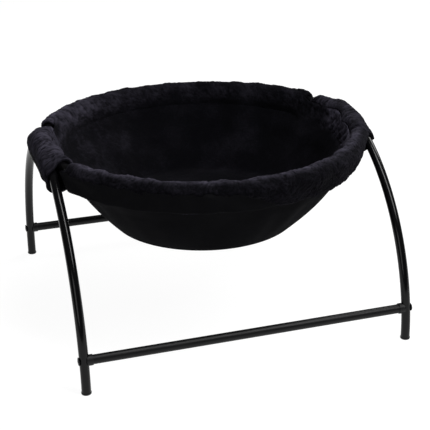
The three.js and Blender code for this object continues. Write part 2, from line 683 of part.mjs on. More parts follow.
// The plush liner: its outer side follows the shell's inside and the pad's top
const linerOuter = [
  new THREE.Vector2(linerTopRadius, linerTopHeight),
  ...offsetProfile(wallProfile(), SHELL_THICKNESS + 2 * GAP),
];
linerOuter.pop();
const linerFloor = raised(baseProfile(padRadius), padRise + PAD_THICKNESS + GAP);
const linerInner = offsetProfile(linerOuter, LINER_THICKNESS);
const linerFloorInner = raised(linerFloor, LINER_THICKNESS);
linerFloorInner[0].x -= LINER_THICKNESS;
const linerCrown = linerOuter[0].clone().add(linerInner[0]).divideScalar(2);
linerCrown.y += LINER_CROWN;
const linerLoop = [
  ...linerOuter,
  ...linerFloor,
  ...linerFloorInner.reverse(),
  ...linerInner.reverse(),
  linerCrown,
  linerOuter[0],
];
addPiece("plush_liner", revolve(linerLoop), blackPlush);

export default bed;
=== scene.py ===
import math

import bmesh
import bpy
import numpy as np
from mathutils import Matrix, Vector


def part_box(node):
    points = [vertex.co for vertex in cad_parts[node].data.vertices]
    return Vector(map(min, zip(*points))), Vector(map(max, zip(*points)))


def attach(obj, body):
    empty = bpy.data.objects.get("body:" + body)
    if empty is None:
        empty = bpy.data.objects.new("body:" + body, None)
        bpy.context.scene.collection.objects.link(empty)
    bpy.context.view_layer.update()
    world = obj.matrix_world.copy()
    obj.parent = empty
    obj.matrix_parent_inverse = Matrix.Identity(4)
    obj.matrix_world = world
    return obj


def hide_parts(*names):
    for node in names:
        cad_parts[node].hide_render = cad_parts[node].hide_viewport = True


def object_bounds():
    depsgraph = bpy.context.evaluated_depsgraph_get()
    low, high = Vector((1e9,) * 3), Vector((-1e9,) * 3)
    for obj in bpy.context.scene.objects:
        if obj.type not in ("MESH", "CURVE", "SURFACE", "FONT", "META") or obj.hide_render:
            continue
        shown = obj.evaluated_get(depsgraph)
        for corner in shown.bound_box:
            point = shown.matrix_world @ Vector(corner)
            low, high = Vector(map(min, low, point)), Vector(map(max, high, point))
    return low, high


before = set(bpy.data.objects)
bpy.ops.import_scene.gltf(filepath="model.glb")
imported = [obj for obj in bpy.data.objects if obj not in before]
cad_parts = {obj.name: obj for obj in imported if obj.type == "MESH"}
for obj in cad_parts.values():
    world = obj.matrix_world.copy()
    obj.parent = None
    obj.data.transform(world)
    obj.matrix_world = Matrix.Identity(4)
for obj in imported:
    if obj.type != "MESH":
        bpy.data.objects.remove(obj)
cad_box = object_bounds()

# Camera
# The bed is seen through a long lens from about a metre and a half away, from above and a little to the left
# of its front. The angles and the distance are those that put the four feet where the photograph has them.
CAMERA_AZIMUTH = math.radians(-17.10)
CAMERA_ELEVATION = math.radians(23.12)
CAMERA_ROLL = math.radians(-0.79)
CAMERA_DISTANCE = 1.5725
CAMERA_TARGET = Vector((0.0191, 0, 0.1185))
CAMERA_LENS = 93.3

toward_camera = Vector((
    math.sin(CAMERA_AZIMUTH) * math.cos(CAMERA_ELEVATION),
    -math.cos(CAMERA_AZIMUTH) * math.cos(CAMERA_ELEVATION),
    math.sin(CAMERA_ELEVATION),
))
camera_data = bpy.data.cameras.new("camera")
camera_data.lens = CAMERA_LENS
camera = bpy.data.objects.new("camera", camera_data)
bpy.context.scene.collection.objects.link(camera)
level = toward_camera.to_track_quat("Z", "Y").to_matrix().to_4x4()
camera.matrix_world = (
    Matrix.Translation(CAMERA_TARGET + CAMERA_DISTANCE * toward_camera)
    @ level
    @ Matrix.Rotation(CAMERA_ROLL, 4, "Z")
)
bpy.context.scene.camera = camera
bpy.context.scene.view_settings.view_transform = "Standard"


# Floor, sky and lamps
# A seamless white studio floor under a dim grey sky. A large soft lamp stands behind on the right, a weak
# one low at the front left, and a long one high at the front, which draws the thin light down each leg.
def linear(shade):
    """The linear colour of an sRGB hex value such as 0x1a1a1c"""
    parts = [(shade >> shift & 255) / 255 for shift in (16, 8, 0)]
    return (*[p / 12.92 if p <= 0.04045 else ((p + 0.055) / 1.055) ** 2.4 for p in parts], 1)


def node(tree, kind, inputs, **settings):
    """Adds a node. An input is a value, an output to link it to, or a node for that node's first output"""
    made = tree.nodes.new(kind)
    for name, value in settings.items():
        setattr(made, name, value)
    for name, value in inputs.items():
        if isinstance(value, bpy.types.Node):
            value = value.outputs[0]
        if isinstance(value, bpy.types.NodeSocket):
            tree.links.new(value, made.inputs[name])
        else:
            made.inputs[name].default_value = value
    return made


def empty_material(name):
    made = bpy.data.materials.new(name)
    made.use_nodes = True
    made.node_tree.nodes.clear()
    return made


FLOOR_SIZE = 24
FLOOR_COLOUR = 0x707070
FLOOR_WHITE = 0.95
SKY_LIGHT = 0.1

white_floor = empty_material("painted_white_floor")
tree = white_floor.node_tree
path = node(tree, "ShaderNodeLightPath", {}).outputs
seen = path["Is Camera Ray"]
for ray in ("Is Glossy Ray", "Is Transmission Ray"):
    seen = node(tree, "ShaderNodeMath", {0: seen, 1: path[ray]}, operation="MAXIMUM")
paint = node(tree, "ShaderNodeBsdfDiffuse", {"Color": linear(FLOOR_COLOUR)})
glow = node(tree, "ShaderNodeMath", {0: seen, 1: FLOOR_WHITE}, operation="MULTIPLY")
white = node(tree, "ShaderNodeEmission", {"Strength": glow})
floor_look = node(tree, "ShaderNodeAddShader", {0: paint, 1: white})
node(tree, "ShaderNodeOutputMaterial", {"Surface": floor_look})

work = bmesh.new()
bmesh.ops.create_grid(work, x_segments=1, y_segments=1, size=FLOOR_SIZE)
floor_mesh = bpy.data.meshes.new("floor")
work.to_mesh(floor_mesh)
work.free()
floor_mesh.materials.append(white_floor)
floor = bpy.data.objects.new("floor", floor_mesh)
bpy.context.scene.collection.objects.link(floor)

sky = bpy.data.worlds.new("studio_sky")
sky.use_nodes = True
sky.node_tree.nodes.clear()
tree = sky.node_tree
path = node(tree, "ShaderNodeLightPath", {}).outputs
shown = {0: path["Is Camera Ray"], 1: path["Is Transmission Ray"]}
seen = node(tree, "ShaderNodeMath", shown, operation="MAXIMUM")
strength = node(tree, "ShaderNodeMapRange", {"Value": seen, "To Min": SKY_LIGHT, "To Max": 1.0})
background = node(tree, "ShaderNodeBackground", {"Strength": strength})
node(tree, "ShaderNodeOutputWorld", {"Surface": background})
bpy.context.scene.world = sky

# Each lamp: name, place, size across, size along, watts. All of them face the bed.
LAMP_TARGET = Vector((0, 0, 0.15))
LAMPS = (
    ("key_lamp", Vector((1.35, 0.62, 1.45)), 0.9, 0.9, 15),
    ("low_front_lamp", Vector((-0.95, -1.65, 0.8)), 0.9, 0.9, 5),
    ("high_front_lamp", Vector((0.52, -0.66, 1.88)), 0.5, 1.9, 32),
)
for name, lamp_place, across, length, watts in LAMPS:
    lamp_data = bpy.data.lights.new(name, "AREA")
    lamp_data.shape = "RECTANGLE"
    lamp_data.size = across
    lamp_data.size_y = length
    lamp_data.energy = watts
    lamp = bpy.data.objects.new(name, lamp_data)
    facing = (lamp_place - LAMP_TARGET).to_track_quat("Z", "Y").to_matrix().to_4x4()
    lamp.matrix_world = Matrix.Translation(lamp_place) @ facing
    bpy.context.scene.collection.objects.link(lamp)


# Arches
# Each arch is one length of 12 mm steel tube, bent cold three times into both legs and the top between them,
# and drilled for its bolts. Its black powder coat is half glossy, with a faint orange peel from the oven.
TUBE_SIDES = 32
TUBE_WALL = 0.0012
LEG_BEND_RADIUS = 0.252
TOP_BEND_RADIUS = 0.145
LEG_STRAIGHT_TOP = 0.005
BEND_STEP = 0.006
WELD = 1e-6
SHARP_EDGE = math.radians(38)
HOLE_SIDES = 32
COAT_BLACK = 0x09090A
COAT_BLACK_LIGHT = 0x0E0E10
COAT_CLOUDS = 0.03  # from one cloud in the coat's tone to the next
ORANGE_PEEL = 0.0016  # from one ripple of the coat to the next
FINE_RELIEF = 0.0001


def start_material(name):
    """A new material, its node tree, and the place in metres on a piece that its patterns follow"""
    made = empty_material(name)
    place = node(made.node_tree, "ShaderNodeTexCoord", {}).outputs["Object"]
    return made, made.node_tree, place


def powder_coat(name, smoothest, roughest, shine):
    """Black powder coat on steel, mottled a little in colour and gloss, with the oven's orange peel"""
    made, tree, place = start_material(name)
    clouds = node(tree, "ShaderNodeTexNoise", {"Vector": place, "Scale": 1 / COAT_CLOUDS, "Detail": 3.0})
    tones = {"Factor": clouds, 6: linear(COAT_BLACK), 7: linear(COAT_BLACK_LIGHT)}
    coat = node(tree, "ShaderNodeMix", tones, data_type="RGBA")
    gloss = node(tree, "ShaderNodeMapRange", {"Value": clouds, "To Min": smoothest, "To Max": roughest})
    ripple = node(tree, "ShaderNodeTexNoise", {"Vector": place, "Scale": 1 / ORANGE_PEEL, "Detail": 1.0})
    peel = node(tree, "ShaderNodeBump", {"Strength": 0.12, "Distance": FINE_RELIEF, "Height": ripple})
    steel = node(tree, "ShaderNodeBsdfPrincipled", {
        "Base Color": coat.outputs[2],
        "Roughness": gloss,
        "Specular IOR Level": shine,
        "Normal": peel,
    })
    node(tree, "ShaderNodeOutputMaterial", {"Surface": steel})
    return made


powder_coated_steel = powder_coat("powder_coated_steel_gloss", 0.1, 0.15, 0.2)


def add_piece(work, name, finish, nodes, cutters=()):
    """Makes a closed shape a piece that stands for its CAD nodes, with other shapes cut out of it"""
    bmesh.ops.remove_doubles(work, verts=work.verts, dist=WELD)
    bmesh.ops.delete(work, geom=[edge for edge in work.edges if not edge.link_faces], context="EDGES")
    bmesh.ops.recalc_face_normals(work, faces=work.faces)
    mesh = bpy.data.meshes.new(name)
    work.to_mesh(mesh)
    work.free()
    piece = bpy.data.objects.new(name, mesh)
    bpy.context.scene.collection.objects.link(piece)
    for cutter in cutters:
        tool_mesh = bpy.data.meshes.new("cutter")
        bmesh.ops.recalc_face_normals(cutter, faces=cutter.faces)
        cutter.to_mesh(tool_mesh)
        cutter.free()
        tool = bpy.data.objects.new("cutter", tool_mesh)
        bpy.context.scene.collection.objects.link(tool)
        cut = piece.modifiers.new("cut", "BOOLEAN")
        cut.operation = "DIFFERENCE"
        cut.solver = "EXACT"
        cut.object = tool
        shaped = piece.evaluated_get(bpy.context.evaluated_depsgraph_get())
        drilled = bpy.data.meshes.new_from_object(shaped)
        piece.modifiers.clear()
        piece.data = drilled
        bpy.data.objects.remove(tool)
    piece.data.shade_smooth()
    piece.data.set_sharp_from_angle(angle=SHARP_EDGE)
    piece.data.materials.append(finish)
    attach(piece, "root")
    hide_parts(*nodes)
    return piece


def tube_end(work, place):
    """The flat ring of a tube's cut end, on the plane of a matrix, as all its points, edges and faces"""
    radial = [work.verts.new(place @ Vector((radius, 0, 0))) for radius in (bore_radius, tube_radius)]
    radial.append(work.edges.new(radial))
    axis = place.to_3x3() @ Vector((0, 0, 1))
    bmesh.ops.spin(
        work, geom=radial, cent=place.translation, axis=axis, angle=2 * math.pi, steps=TUBE_SIDES,
        use_merge=True,
    )
    return work.verts[:] + work.edges[:] + work.faces[:]


def draw_out(work, end, along):
    """Draws the end of a tube out straight and gives back the new end"""
    drawn = bmesh.ops.extrude_face_region(work, geom=end)["geom"]
    points = [part for part in drawn if isinstance(part, bmesh.types.BMVert)]
    bmesh.ops.translate(work, verts=points, vec=along)
    return drawn


def bend(work, end, centre, radius, angle):
    """Draws the end of a tube round a bend in an upright plane and gives back the new end"""
    steps = round(radius * abs(angle) / BEND_STEP)
    turned = bmesh.ops.spin(work, geom=end, cent=centre, axis=(1, 0, 0), angle=angle, steps=steps)
    return turned["geom_last"]


def rod(start, end, radius, sides=HOLE_SIDES):
    """A solid rod from one point to another, as a shape to cut with"""
    shape = bmesh.new()
    along = Vector(end) - Vector(start)
    middle = (Vector(end) + Vector(start)) / 2
    turned = Matrix.Translation(middle) @ along.to_track_quat("Z", "Y").to_matrix().to_4x4()
    bmesh.ops.create_cone(
        shape, cap_ends=True, segments=sides, radius1=radius, radius2=radius, depth=along.length,
        matrix=turned,
    )
    return shape


arch_low, arch_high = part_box("right_arch")
bar_low, bar_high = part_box("front_crossbar")
tube_radius = (arch_high.x - arch_low.x) / 2
half_spacing = (arch_high.x + arch_low.x) / 2
half_feet = arch_high.y - tube_radius
bar_height = (bar_high.z + bar_low.z) / 2
bar_y = -(bar_high.y + bar_low.y) / 2
leg_bend_y = half_feet - LEG_BEND_RADIUS
top_bend_z = LEG_STRAIGHT_TOP + math.sqrt((LEG_BEND_RADIUS - TOP_BEND_RADIUS) ** 2 - leg_bend_y**2)
bends_meet = math.atan2(top_bend_z - LEG_STRAIGHT_TOP, -leg_bend_y)
bends_meet_y = TOP_BEND_RADIUS * math.cos(bends_meet)
bore_radius = tube_radius - TUBE_WALL
RIM_BOLT_Y = 0.042
BOLT_HOLE_RADIUS = 0.0033
BUSH_HOLE_RADIUS = 0.0043
OVERRUN = 0.002


def arch_at(y):
    """Height and slope of an arch's middle line at distances y from its middle"""
    away = np.abs(np.asarray(y, float))
    near_rise = np.sqrt(np.maximum(TOP_BEND_RADIUS**2 - away**2, 0))
    far_rise = np.sqrt(np.maximum(LEG_BEND_RADIUS**2 - (away - leg_bend_y) ** 2, 0))
    near = away < bends_meet_y
    height = np.where(near, top_bend_z + near_rise, LEG_STRAIGHT_TOP + far_rise)
    slope = np.where(near, np.arctan2(away, near_rise), np.arctan2(away - leg_bend_y, far_rise))
    return height, slope


rim_height = float(arch_at(RIM_BOLT_Y)[0])
for name, side in (("left_arch", -1), ("right_arch", 1)):
    work = bmesh.new()
    start = Matrix.Translation((side * half_spacing, -half_feet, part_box(name)[0].z))
    end_face = draw_out(work, tube_end(work, start), (0, 0, LEG_STRAIGHT_TOP - start.translation.z))
    x = side * half_spacing
    end_face = bend(work, end_face, (x, -leg_bend_y, LEG_STRAIGHT_TOP), LEG_BEND_RADIUS, -bends_meet)
    end_face = bend(work, end_face, (x, 0, top_bend_z), TOP_BEND_RADIUS, 2 * bends_meet - math.pi)
    end_face = bend(work, end_face, (x, leg_bend_y, LEG_STRAIGHT_TOP), LEG_BEND_RADIUS, -bends_meet)
    draw_out(work, end_face, (0, 0, start.translation.z - LEG_STRAIGHT_TOP))
    inside = side * (half_spacing - tube_radius - OVERRUN)
    outside = side * (half_spacing + tube_radius + OVERRUN)
    holes = []
    for end in (-1, 1):
        leg = end * bar_y
        bush = end * RIM_BOLT_Y
        holes.append(rod((inside, leg, bar_height), (outside, leg, bar_height), BOLT_HOLE_RADIUS))
        holes.append(rod((inside, bush, rim_height), (x, bush, rim_height), BUSH_HOLE_RADIUS))
    add_piece(work, name + "_tube", powder_coated_steel, [name], holes)


# Crossbars
# Two straight lengths of the same tube, sawn square and bolted between the legs near the floor. Their coat
# is a satin one, which spreads the lamps into one soft band along the bar.
satin_coated_steel = powder_coat("powder_coated_steel_satin", 0.4, 0.48, 0.22)
for name in ("front_crossbar", "rear_crossbar"):
    low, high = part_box(name)
    work = bmesh.new()
    start = Matrix.Translation((low.x, (low.y + high.y) / 2, bar_height))
    start = start @ Matrix.Rotation(math.pi / 2, 4, "Y")
    draw_out(work, tube_end(work, start), (high.x - low.x, 0, 0))
    add_piece(work, name + "_tube", satin_coated_steel, [name])


# Saddles
# A moulded black plastic collar at each end of a crossbar. One face is hollowed to the leg's round, and the
# other has a shallow socket that takes the bar's end, so that the bolt pulls all three tight.
SADDLE_WALL = 0.001
FIT = 0.0003
SADDLE_SOCKET = 0.002
SADDLE_ROUND = 0.0004
SPIN_STEPS = 32
PLASTIC_BLACK = 0x0C0C0E
MOULD_GRAIN = 0.0006  # the spark-eroded grain of the mould

# Injection-moulded plastic, satin from the grain that was eroded into its mould.
moulded_plastic, tree, place = start_material("moulded_black_plastic")
grain = node(tree, "ShaderNodeTexNoise", {"Vector": place, "Scale": 1 / MOULD_GRAIN, "Detail": 2.0})
rough = node(tree, "ShaderNodeMapRange", {"Value": grain, "To Min": 0.44, "To Max": 0.56})
pitted = node(tree, "ShaderNodeBump", {"Strength": 0.25, "Distance": FINE_RELIEF, "Height": grain})
plastic = node(tree, "ShaderNodeBsdfPrincipled", {
    "Base Color": linear(PLASTIC_BLACK),
    "Roughness": rough,
    "Specular IOR Level": 0.3,
    "Normal": pitted,
})
node(tree, "ShaderNodeOutputMaterial", {"Surface": plastic})


def turned_on_x(profile, place):
    """A solid turned about the X axis from points of (distance along X, radius), and put in its place"""
    shape = bmesh.new()
    points = [shape.verts.new((along, radius, 0)) for along, radius in profile]
    edges = [shape.edges.new(pair) for pair in zip(points, points[1:])]
    if profile[0][1] > 0:
        edges.append(shape.edges.new((points[-1], points[0])))
    bmesh.ops.spin(
        shape, geom=points + edges, cent=(0, 0, 0), axis=(1, 0, 0), angle=2 * math.pi, steps=SPIN_STEPS,
        use_merge=True,
    )
    bmesh.ops.remove_doubles(shape, verts=shape.verts, dist=WELD)
    bmesh.ops.transform(shape, matrix=place, verts=shape.verts)
    return shape


CORNERS = (("front_left", -1, -1), ("front_right", 1, -1), ("rear_left", -1, 1), ("rear_right", 1, 1))
leg_lean = math.asin((bar_height - LEG_STRAIGHT_TOP) / LEG_BEND_RADIUS)
for corner, side, end in CORNERS:
    low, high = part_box("crossbar_saddle_" + corner)
    length = high.x - low.x
    outer = tube_radius + SADDLE_WALL
    socket = tube_radius + FIT
    profile = (
        (0, socket),
        (0, outer - SADDLE_ROUND),
        (SADDLE_ROUND, outer),
        (length - SADDLE_ROUND, outer),
        (length, outer - SADDLE_ROUND),
        (length, BOLT_HOLE_RADIUS),
        (SADDLE_SOCKET, BOLT_HOLE_RADIUS),
        (SADDLE_SOCKET, socket),
    )
    open_face = low.x if side > 0 else high.x
    turn = Matrix.Rotation(0 if side > 0 else math.pi, 4, "Z")
    place = Matrix.Translation((open_face, end * bar_y, bar_height)) @ turn
    lean = Vector((0, -end * math.sin(leg_lean), math.cos(leg_lean))) * (2 * outer)
    middle = Vector((side * half_spacing, end * bar_y, bar_height))
    leg = rod(middle - lean, middle + lean, tube_radius + FIT)
    add_piece(
        turned_on_x(profile, place), "saddle_" + corner, moulded_plastic,
        ["crossbar_saddle_" + corner], [leg],
    )


# Bolts
# Eight button-head M6 bolts with a hexagon socket, cold forged from steel and blackened in hot oxide, which
# leaves them dark with a soft metal shine. Four hold the crossbars and four the rim inside the side pockets.
HEAD_RADIUS = 0.0052
HEAD_HEIGHT = 0.0033
LOW_HEAD_HEIGHT = 0.0015  # the crossbars' bolts have the low head that the photograph shows
HEAD_EDGE = 0.0005
BOLT_RADIUS = 0.003
BOLT_TIP = 0.0006
SOCKET_RADIUS = 0.0023
SOCKET_DEPTH = 0.0018
DOME_STEPS = 7
OXIDE_BLACK = 0x1C1C1F
OXIDE_STAIN = 0.002  # from one stain of the bath to the next

# Steel blackened in hot oxide, a thin dark skin that still shines like metal, unevenly.
black_oxide_steel, tree, place = start_material("black_oxide_steel")
stain = node(tree, "ShaderNodeTexNoise", {"Vector": place, "Scale": 1 / OXIDE_STAIN, "Detail": 3.0})
rough = node(tree, "ShaderNodeMapRange", {"Value": stain, "To Min": 0.34, "To Max": 0.5})
oxide = node(tree, "ShaderNodeBsdfPrincipled", {
    "Base Color": linear(OXIDE_BLACK),
    "Metallic": 0.9,
    "Roughness": rough,
})
node(tree, "ShaderNodeOutputMaterial", {"Surface": oxide})


def add_bolt(name, seat, heading, head_height):
    """A bolt whose head sits on a seat and whose shank points along X in the heading's direction"""
    low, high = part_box(name)
    length = high.x - low.x - HEAD_HEIGHT
    dome = []
    for step in range(DOME_STEPS):
        turn = step / (DOME_STEPS - 1) * math.pi / 2
        rise = HEAD_EDGE + (head_height - HEAD_EDGE) * math.cos(turn)
        dome.append((-rise, HEAD_RADIUS * math.sin(turn)))
    profile = dome + [
        (0, HEAD_RADIUS),
        (0, BOLT_RADIUS),
        (length - BOLT_TIP, BOLT_RADIUS),
        (length, BOLT_RADIUS - BOLT_TIP),
        (length, 0),
    ]
    turn = Matrix.Rotation(0 if heading > 0 else math.pi, 4, "Z")
    top = seat - Vector((heading * (head_height + OVERRUN), 0, 0))
    floor_of_socket = seat - Vector((heading * (head_height - SOCKET_DEPTH), 0, 0))
    socket = rod(top, floor_of_socket, SOCKET_RADIUS, sides=6)
    shape = turned_on_x(profile, Matrix.Translation(seat) @ turn)
    add_piece(shape, name + "_steel", black_oxide_steel, [name], [socket])


for corner, side, end in CORNERS:
    low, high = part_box("crossbar_bolt_" + corner)
    seat_x = high.x - HEAD_HEIGHT if side > 0 else low.x + HEAD_HEIGHT
    add_bolt("crossbar_bolt_" + corner, Vector((seat_x, end * bar_y, bar_height)), -side, LOW_HEAD_HEIGHT)
    low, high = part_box("rim_bolt_" + corner)
    seat_x = low.x + HEAD_HEIGHT if side > 0 else high.x - HEAD_HEIGHT
    add_bolt("rim_bolt_" + corner, Vector((seat_x, end * RIM_BOLT_Y, rim_height)), side, HEAD_HEIGHT)


# Threaded plugs and bushes
# Turned steel with a dull zinc plating: plugs pressed into the crossbars' ends, and rivet bushes in the
# arches. They are out of sight inside the tubes, and keep the shape that the frame gives them.
ZINC = 0xB9BABC
ZINC_SPANGLE = 0.0015  # from one crystal of the plating to the next

# Zinc-plated steel, pale and bluish, with the plating's fine crystals in its gloss.
zinc_plated_steel, tree, place = start_material("zinc_plated_steel")
spangle = node(tree, "ShaderNodeTexNoise", {"Vector": place, "Scale": 1 / ZINC_SPANGLE, "Detail": 2.0})
rough = node(tree, "ShaderNodeMapRange", {"Value": spangle, "To Min": 0.3, "To Max": 0.45})
zinc = node(tree, "ShaderNodeBsdfPrincipled", {
    "Base Color": linear(ZINC),
    "Metallic": 1.0,
    "Roughness": rough,
})
node(tree, "ShaderNodeOutputMaterial", {"Surface": zinc})
for corner, _, _ in CORNERS:
    for kind in ("crossbar_insert_", "rim_insert_"):
        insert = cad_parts[kind + corner]
        insert.data.materials.clear()
        insert.data.materials.append(zinc_plated_steel)


# Foot caps
# A moulded plastic cap under each leg: a disc a little wider than the tube, rounded at the floor, with a
# ribbed stem that is driven up into the bore and grips there.
CAP_ROUND = 0.0012
CAP_ROUND_STEPS = 5
CAP_FLANGE = 0.0025
CAP_STEM_RADIUS = 0.0042
CAP_RIB = 0.0003
CAP_LIP = 0.0005
CAP_RIBS = 3
for corner, _, _ in CORNERS:
    name = "foot_cap_" + corner
    low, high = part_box(name)
    profile = [(0, 0)]
    for step in range(CAP_ROUND_STEPS + 1):
        turn = step / CAP_ROUND_STEPS * math.pi / 2
        out = tube_radius + CAP_LIP - CAP_ROUND + CAP_ROUND * math.sin(turn)
        profile.append((CAP_ROUND - CAP_ROUND * math.cos(turn), out))
    profile.append((CAP_FLANGE, tube_radius + CAP_LIP))
    profile.append((CAP_FLANGE, CAP_STEM_RADIUS - CAP_RIB))
    pitch = (high.z - CAP_FLANGE) / (CAP_RIBS + 1)
    for rib in range(1, CAP_RIBS + 1):
        profile.append((CAP_FLANGE + (rib - 0.5) * pitch, CAP_STEM_RADIUS - CAP_RIB))
        profile.append((CAP_FLANGE + (rib - 0.4) * pitch, CAP_STEM_RADIUS))
        profile.append((CAP_FLANGE + rib * pitch, CAP_STEM_RADIUS - CAP_RIB))
    profile += [(high.z, CAP_STEM_RADIUS - 2 * CAP_RIB), (high.z, 0)]
    middle = Matrix.Translation(((low.x + high.x) / 2, (low.y + high.y) / 2, 0))
    cap = turned_on_x(profile, middle @ Matrix.Rotation(-math.pi / 2, 4, "Y"))
    add_piece(cap, name + "_moulding", moulded_plastic, [name])


# Rim tubes
# Two half rings of the same tube carry the bowl. Each end turns parallel to its arch, is pressed flat and is
# bolted to the arch's inner side. They show only as a glint in the gaps between the pockets.
TAB_END = 0.011
TAB_BEND_START = 0.0056
TAB_BEND_RADIUS = 0.030
TAB_THICKNESS = 0.004
PRESS_FLAT = 0.020
PRESS_FADE = 0.016
PRESS_SPREAD_SHARE = 1.36
RIM_DROOP = math.radians(1)
RIM_STEP = 0.003

tab_x = half_spacing - tube_radius - FIT - TAB_THICKNESS / 2
tab_bend_y = RIM_BOLT_Y + TAB_BEND_START
tab_bend_angle = math.atan2(tab_bend_y, tab_x - TAB_BEND_RADIUS)
rim_radius = TAB_BEND_RADIUS + math.hypot(tab_x - TAB_BEND_RADIUS, tab_bend_y)
tab_straight = TAB_END + TAB_BEND_START
tab_bend_length = TAB_BEND_RADIUS * tab_bend_angle
rim_arc_length = rim_radius * (math.pi - 2 * tab_bend_angle)
rim_length = rim_arc_length + 2 * (tab_bend_length + tab_straight)


def smooth_step(value, low, high):
    share = np.clip((np.asarray(value, float) - low) / (high - low), 0, 1)
    return share * share * (3 - 2 * share)


def mix(a, b, share):
    return a + (b - a) * share


def sewn_mesh(name, points, lengths, rounds, marks=()):
    """A mesh over rows and columns of points, welded where they meet, with a map in metres of cloth

    lengths and rounds are each point's distance along and round the piece, and marks its named shades.
    """
    rows, columns = points.shape[0] - 1, points.shape[1] - 1
    grid = bmesh.new()
    bmesh.ops.create_grid(grid, x_segments=rows, y_segments=columns, size=1)
    mesh = bpy.data.meshes.new(name)
    grid.to_mesh(mesh)
    grid.free()
    flat = np.empty(len(mesh.vertices) * 3, np.float32)
    mesh.vertices.foreach_get("co", flat)
    flat = flat.reshape(-1, 3)
    row = np.rint((flat[:, 0] + 1) / 2 * rows).astype(int)
    column = np.rint((flat[:, 1] + 1) / 2 * columns).astype(int)
    mesh.vertices.foreach_set("co", points[row, column].astype(np.float32).ravel())
    for mark, values in marks:
        shade = mesh.attributes.new(mark, "FLOAT", "POINT")
        shade.data.foreach_set("value", values[row, column].astype(np.float32))
    corner = np.empty(len(mesh.loops), np.int32)
    mesh.loops.foreach_get("vertex_index", corner)
    cloth_map = np.stack([lengths[row, column], rounds[row, column]], 1)[corner]
    mesh.uv_layers.new(name="cloth").data.foreach_set("uv", cloth_map.astype(np.float32).ravel())
    work = bmesh.new()
    work.from_mesh(mesh)
    bpy.data.meshes.remove(mesh)
    return work


def pressed_ring(along, radius, face_half):
    """Rows of points round a rim tube's wall, with its ends brought to the press faces and spread"""
    from_end = np.minimum(along, rim_length - along)
    side = np.where(along <= rim_length / 2, 1, -1)
    bent = np.clip((from_end - tab_straight) / TAB_BEND_RADIUS, 0, tab_bend_angle)
    ringed = np.maximum(from_end - tab_straight - tab_bend_length, 0) / rim_radius
    turn = bent + ringed
    on_ring = ringed > 0
    x = np.where(on_ring, rim_radius * np.cos(turn), tab_x - TAB_BEND_RADIUS * (1 - np.cos(bent)))
    y = np.where(on_ring, rim_radius * np.sin(turn), tab_bend_y + TAB_BEND_RADIUS * np.sin(bent))
    y = y + np.minimum(from_end - tab_straight, 0)
    pressed = 1 - smooth_step(from_end, PRESS_FLAT, PRESS_FLAT + PRESS_FADE)
    face = mix(radius, face_half, pressed)[:, None]
    round_angle = np.linspace(0, 2 * math.pi, TUBE_SIDES + 1)[None, :]
    out = np.clip(radius * np.cos(round_angle), -face, face)
    up = radius * np.sin(round_angle) * mix(1, PRESS_SPREAD_SHARE, pressed)[:, None]
    across = (x[:, None] + out * np.cos(turn)[:, None]) * side[:, None]
    return np.stack([across, y[:, None] + out * np.sin(turn)[:, None], up + 0 * out], 2)


stations = np.linspace(0, rim_length, round(rim_length / RIM_STEP) + 1)
for name, end in (("front_rim_tube", -1), ("rear_rim_tube", 1)):
    wall = pressed_ring(stations, tube_radius, TAB_THICKNESS / 2)
    bore = pressed_ring(stations[::-1], bore_radius, TAB_THICKNESS / 2 - TUBE_WALL)
    skin = np.concatenate([wall, bore, wall[:1]])
    zero = np.zeros(skin.shape[:2])
    work = sewn_mesh(name, skin, zero, zero)
    pivot = Vector((0, RIM_BOLT_Y, 0))
    bmesh.ops.rotate(work, cent=pivot, matrix=Matrix.Rotation(-RIM_DROOP, 3, "X"), verts=work.verts)
    bmesh.ops.translate(work, vec=(0, 0, rim_height), verts=work.verts)
    bmesh.ops.scale(work, vec=(1, end, 1), verts=work.verts)
    reach = TAB_THICKNESS / 2 + OVERRUN
    holes = []
    for side in (-1, 1):
        near_face = (side * (tab_x - reach), end * RIM_BOLT_Y, rim_height)
        far_face = (side * (tab_x + reach), end * RIM_BOLT_Y, rim_height)
        holes.append(rod(near_face, far_face, BOLT_HOLE_RADIUS))
    add_piece(work, name + "_steel", powder_coated_steel, [name], holes)


# Front and rear pockets
# A pocket is a strip of cloth folded over a rim tube and sewn shut below it. Its upper part and its inside
# are curly plush, which rolls over the rim to a ragged edge. The rest of its outside is smooth black cloth.
POCKET_WALL = 0.0045
POCKET_PLAY = 0.001
SEAM_INSET = 0.003
SEAM_DROP = 0.0252
SEAM_ROUND = 0.0012
NOTCH_CLEARANCE = 0.0027
CURL_SPACING = 0.0085  # from one row of curls to the next but one
FINE_CURL_SPACING = 0.0042
FABRIC_STEP = 0.00125
HEM_ROWS = 6
SEAM_FADE = 0.004
PINCHED_PILE = 0.35
WRAP_STEPS = 360
LINING_ROWS = 40
# painted shade: the colour of the valleys between the curls
PLUSH_PAINTED_VALLEY_SHADE = 0x040407
PLUSH_TIP = 0x4A4754
PLUSH_SHEEN = 0xC9C2DE
PLUSH_PATCH = 0.05  # from one dark patch of the pile to the next
FIBRE = 0.0008
FIBRE_RELIEF = 0.0006
CLOTH_BLACK = 0x1A1A1C
CLOTH_WORN = 0x212124
CLOTH_CREASE = 0.02  # from one faint crease to the next
CREASE_RELIEF = 0.0002
THREAD_SPACING = 0.0009  # twice the real pitch of the weave, so that it shows
BANDS_AT_ONE = 0.314  # from one band of a wave texture to the next at a scale of 1
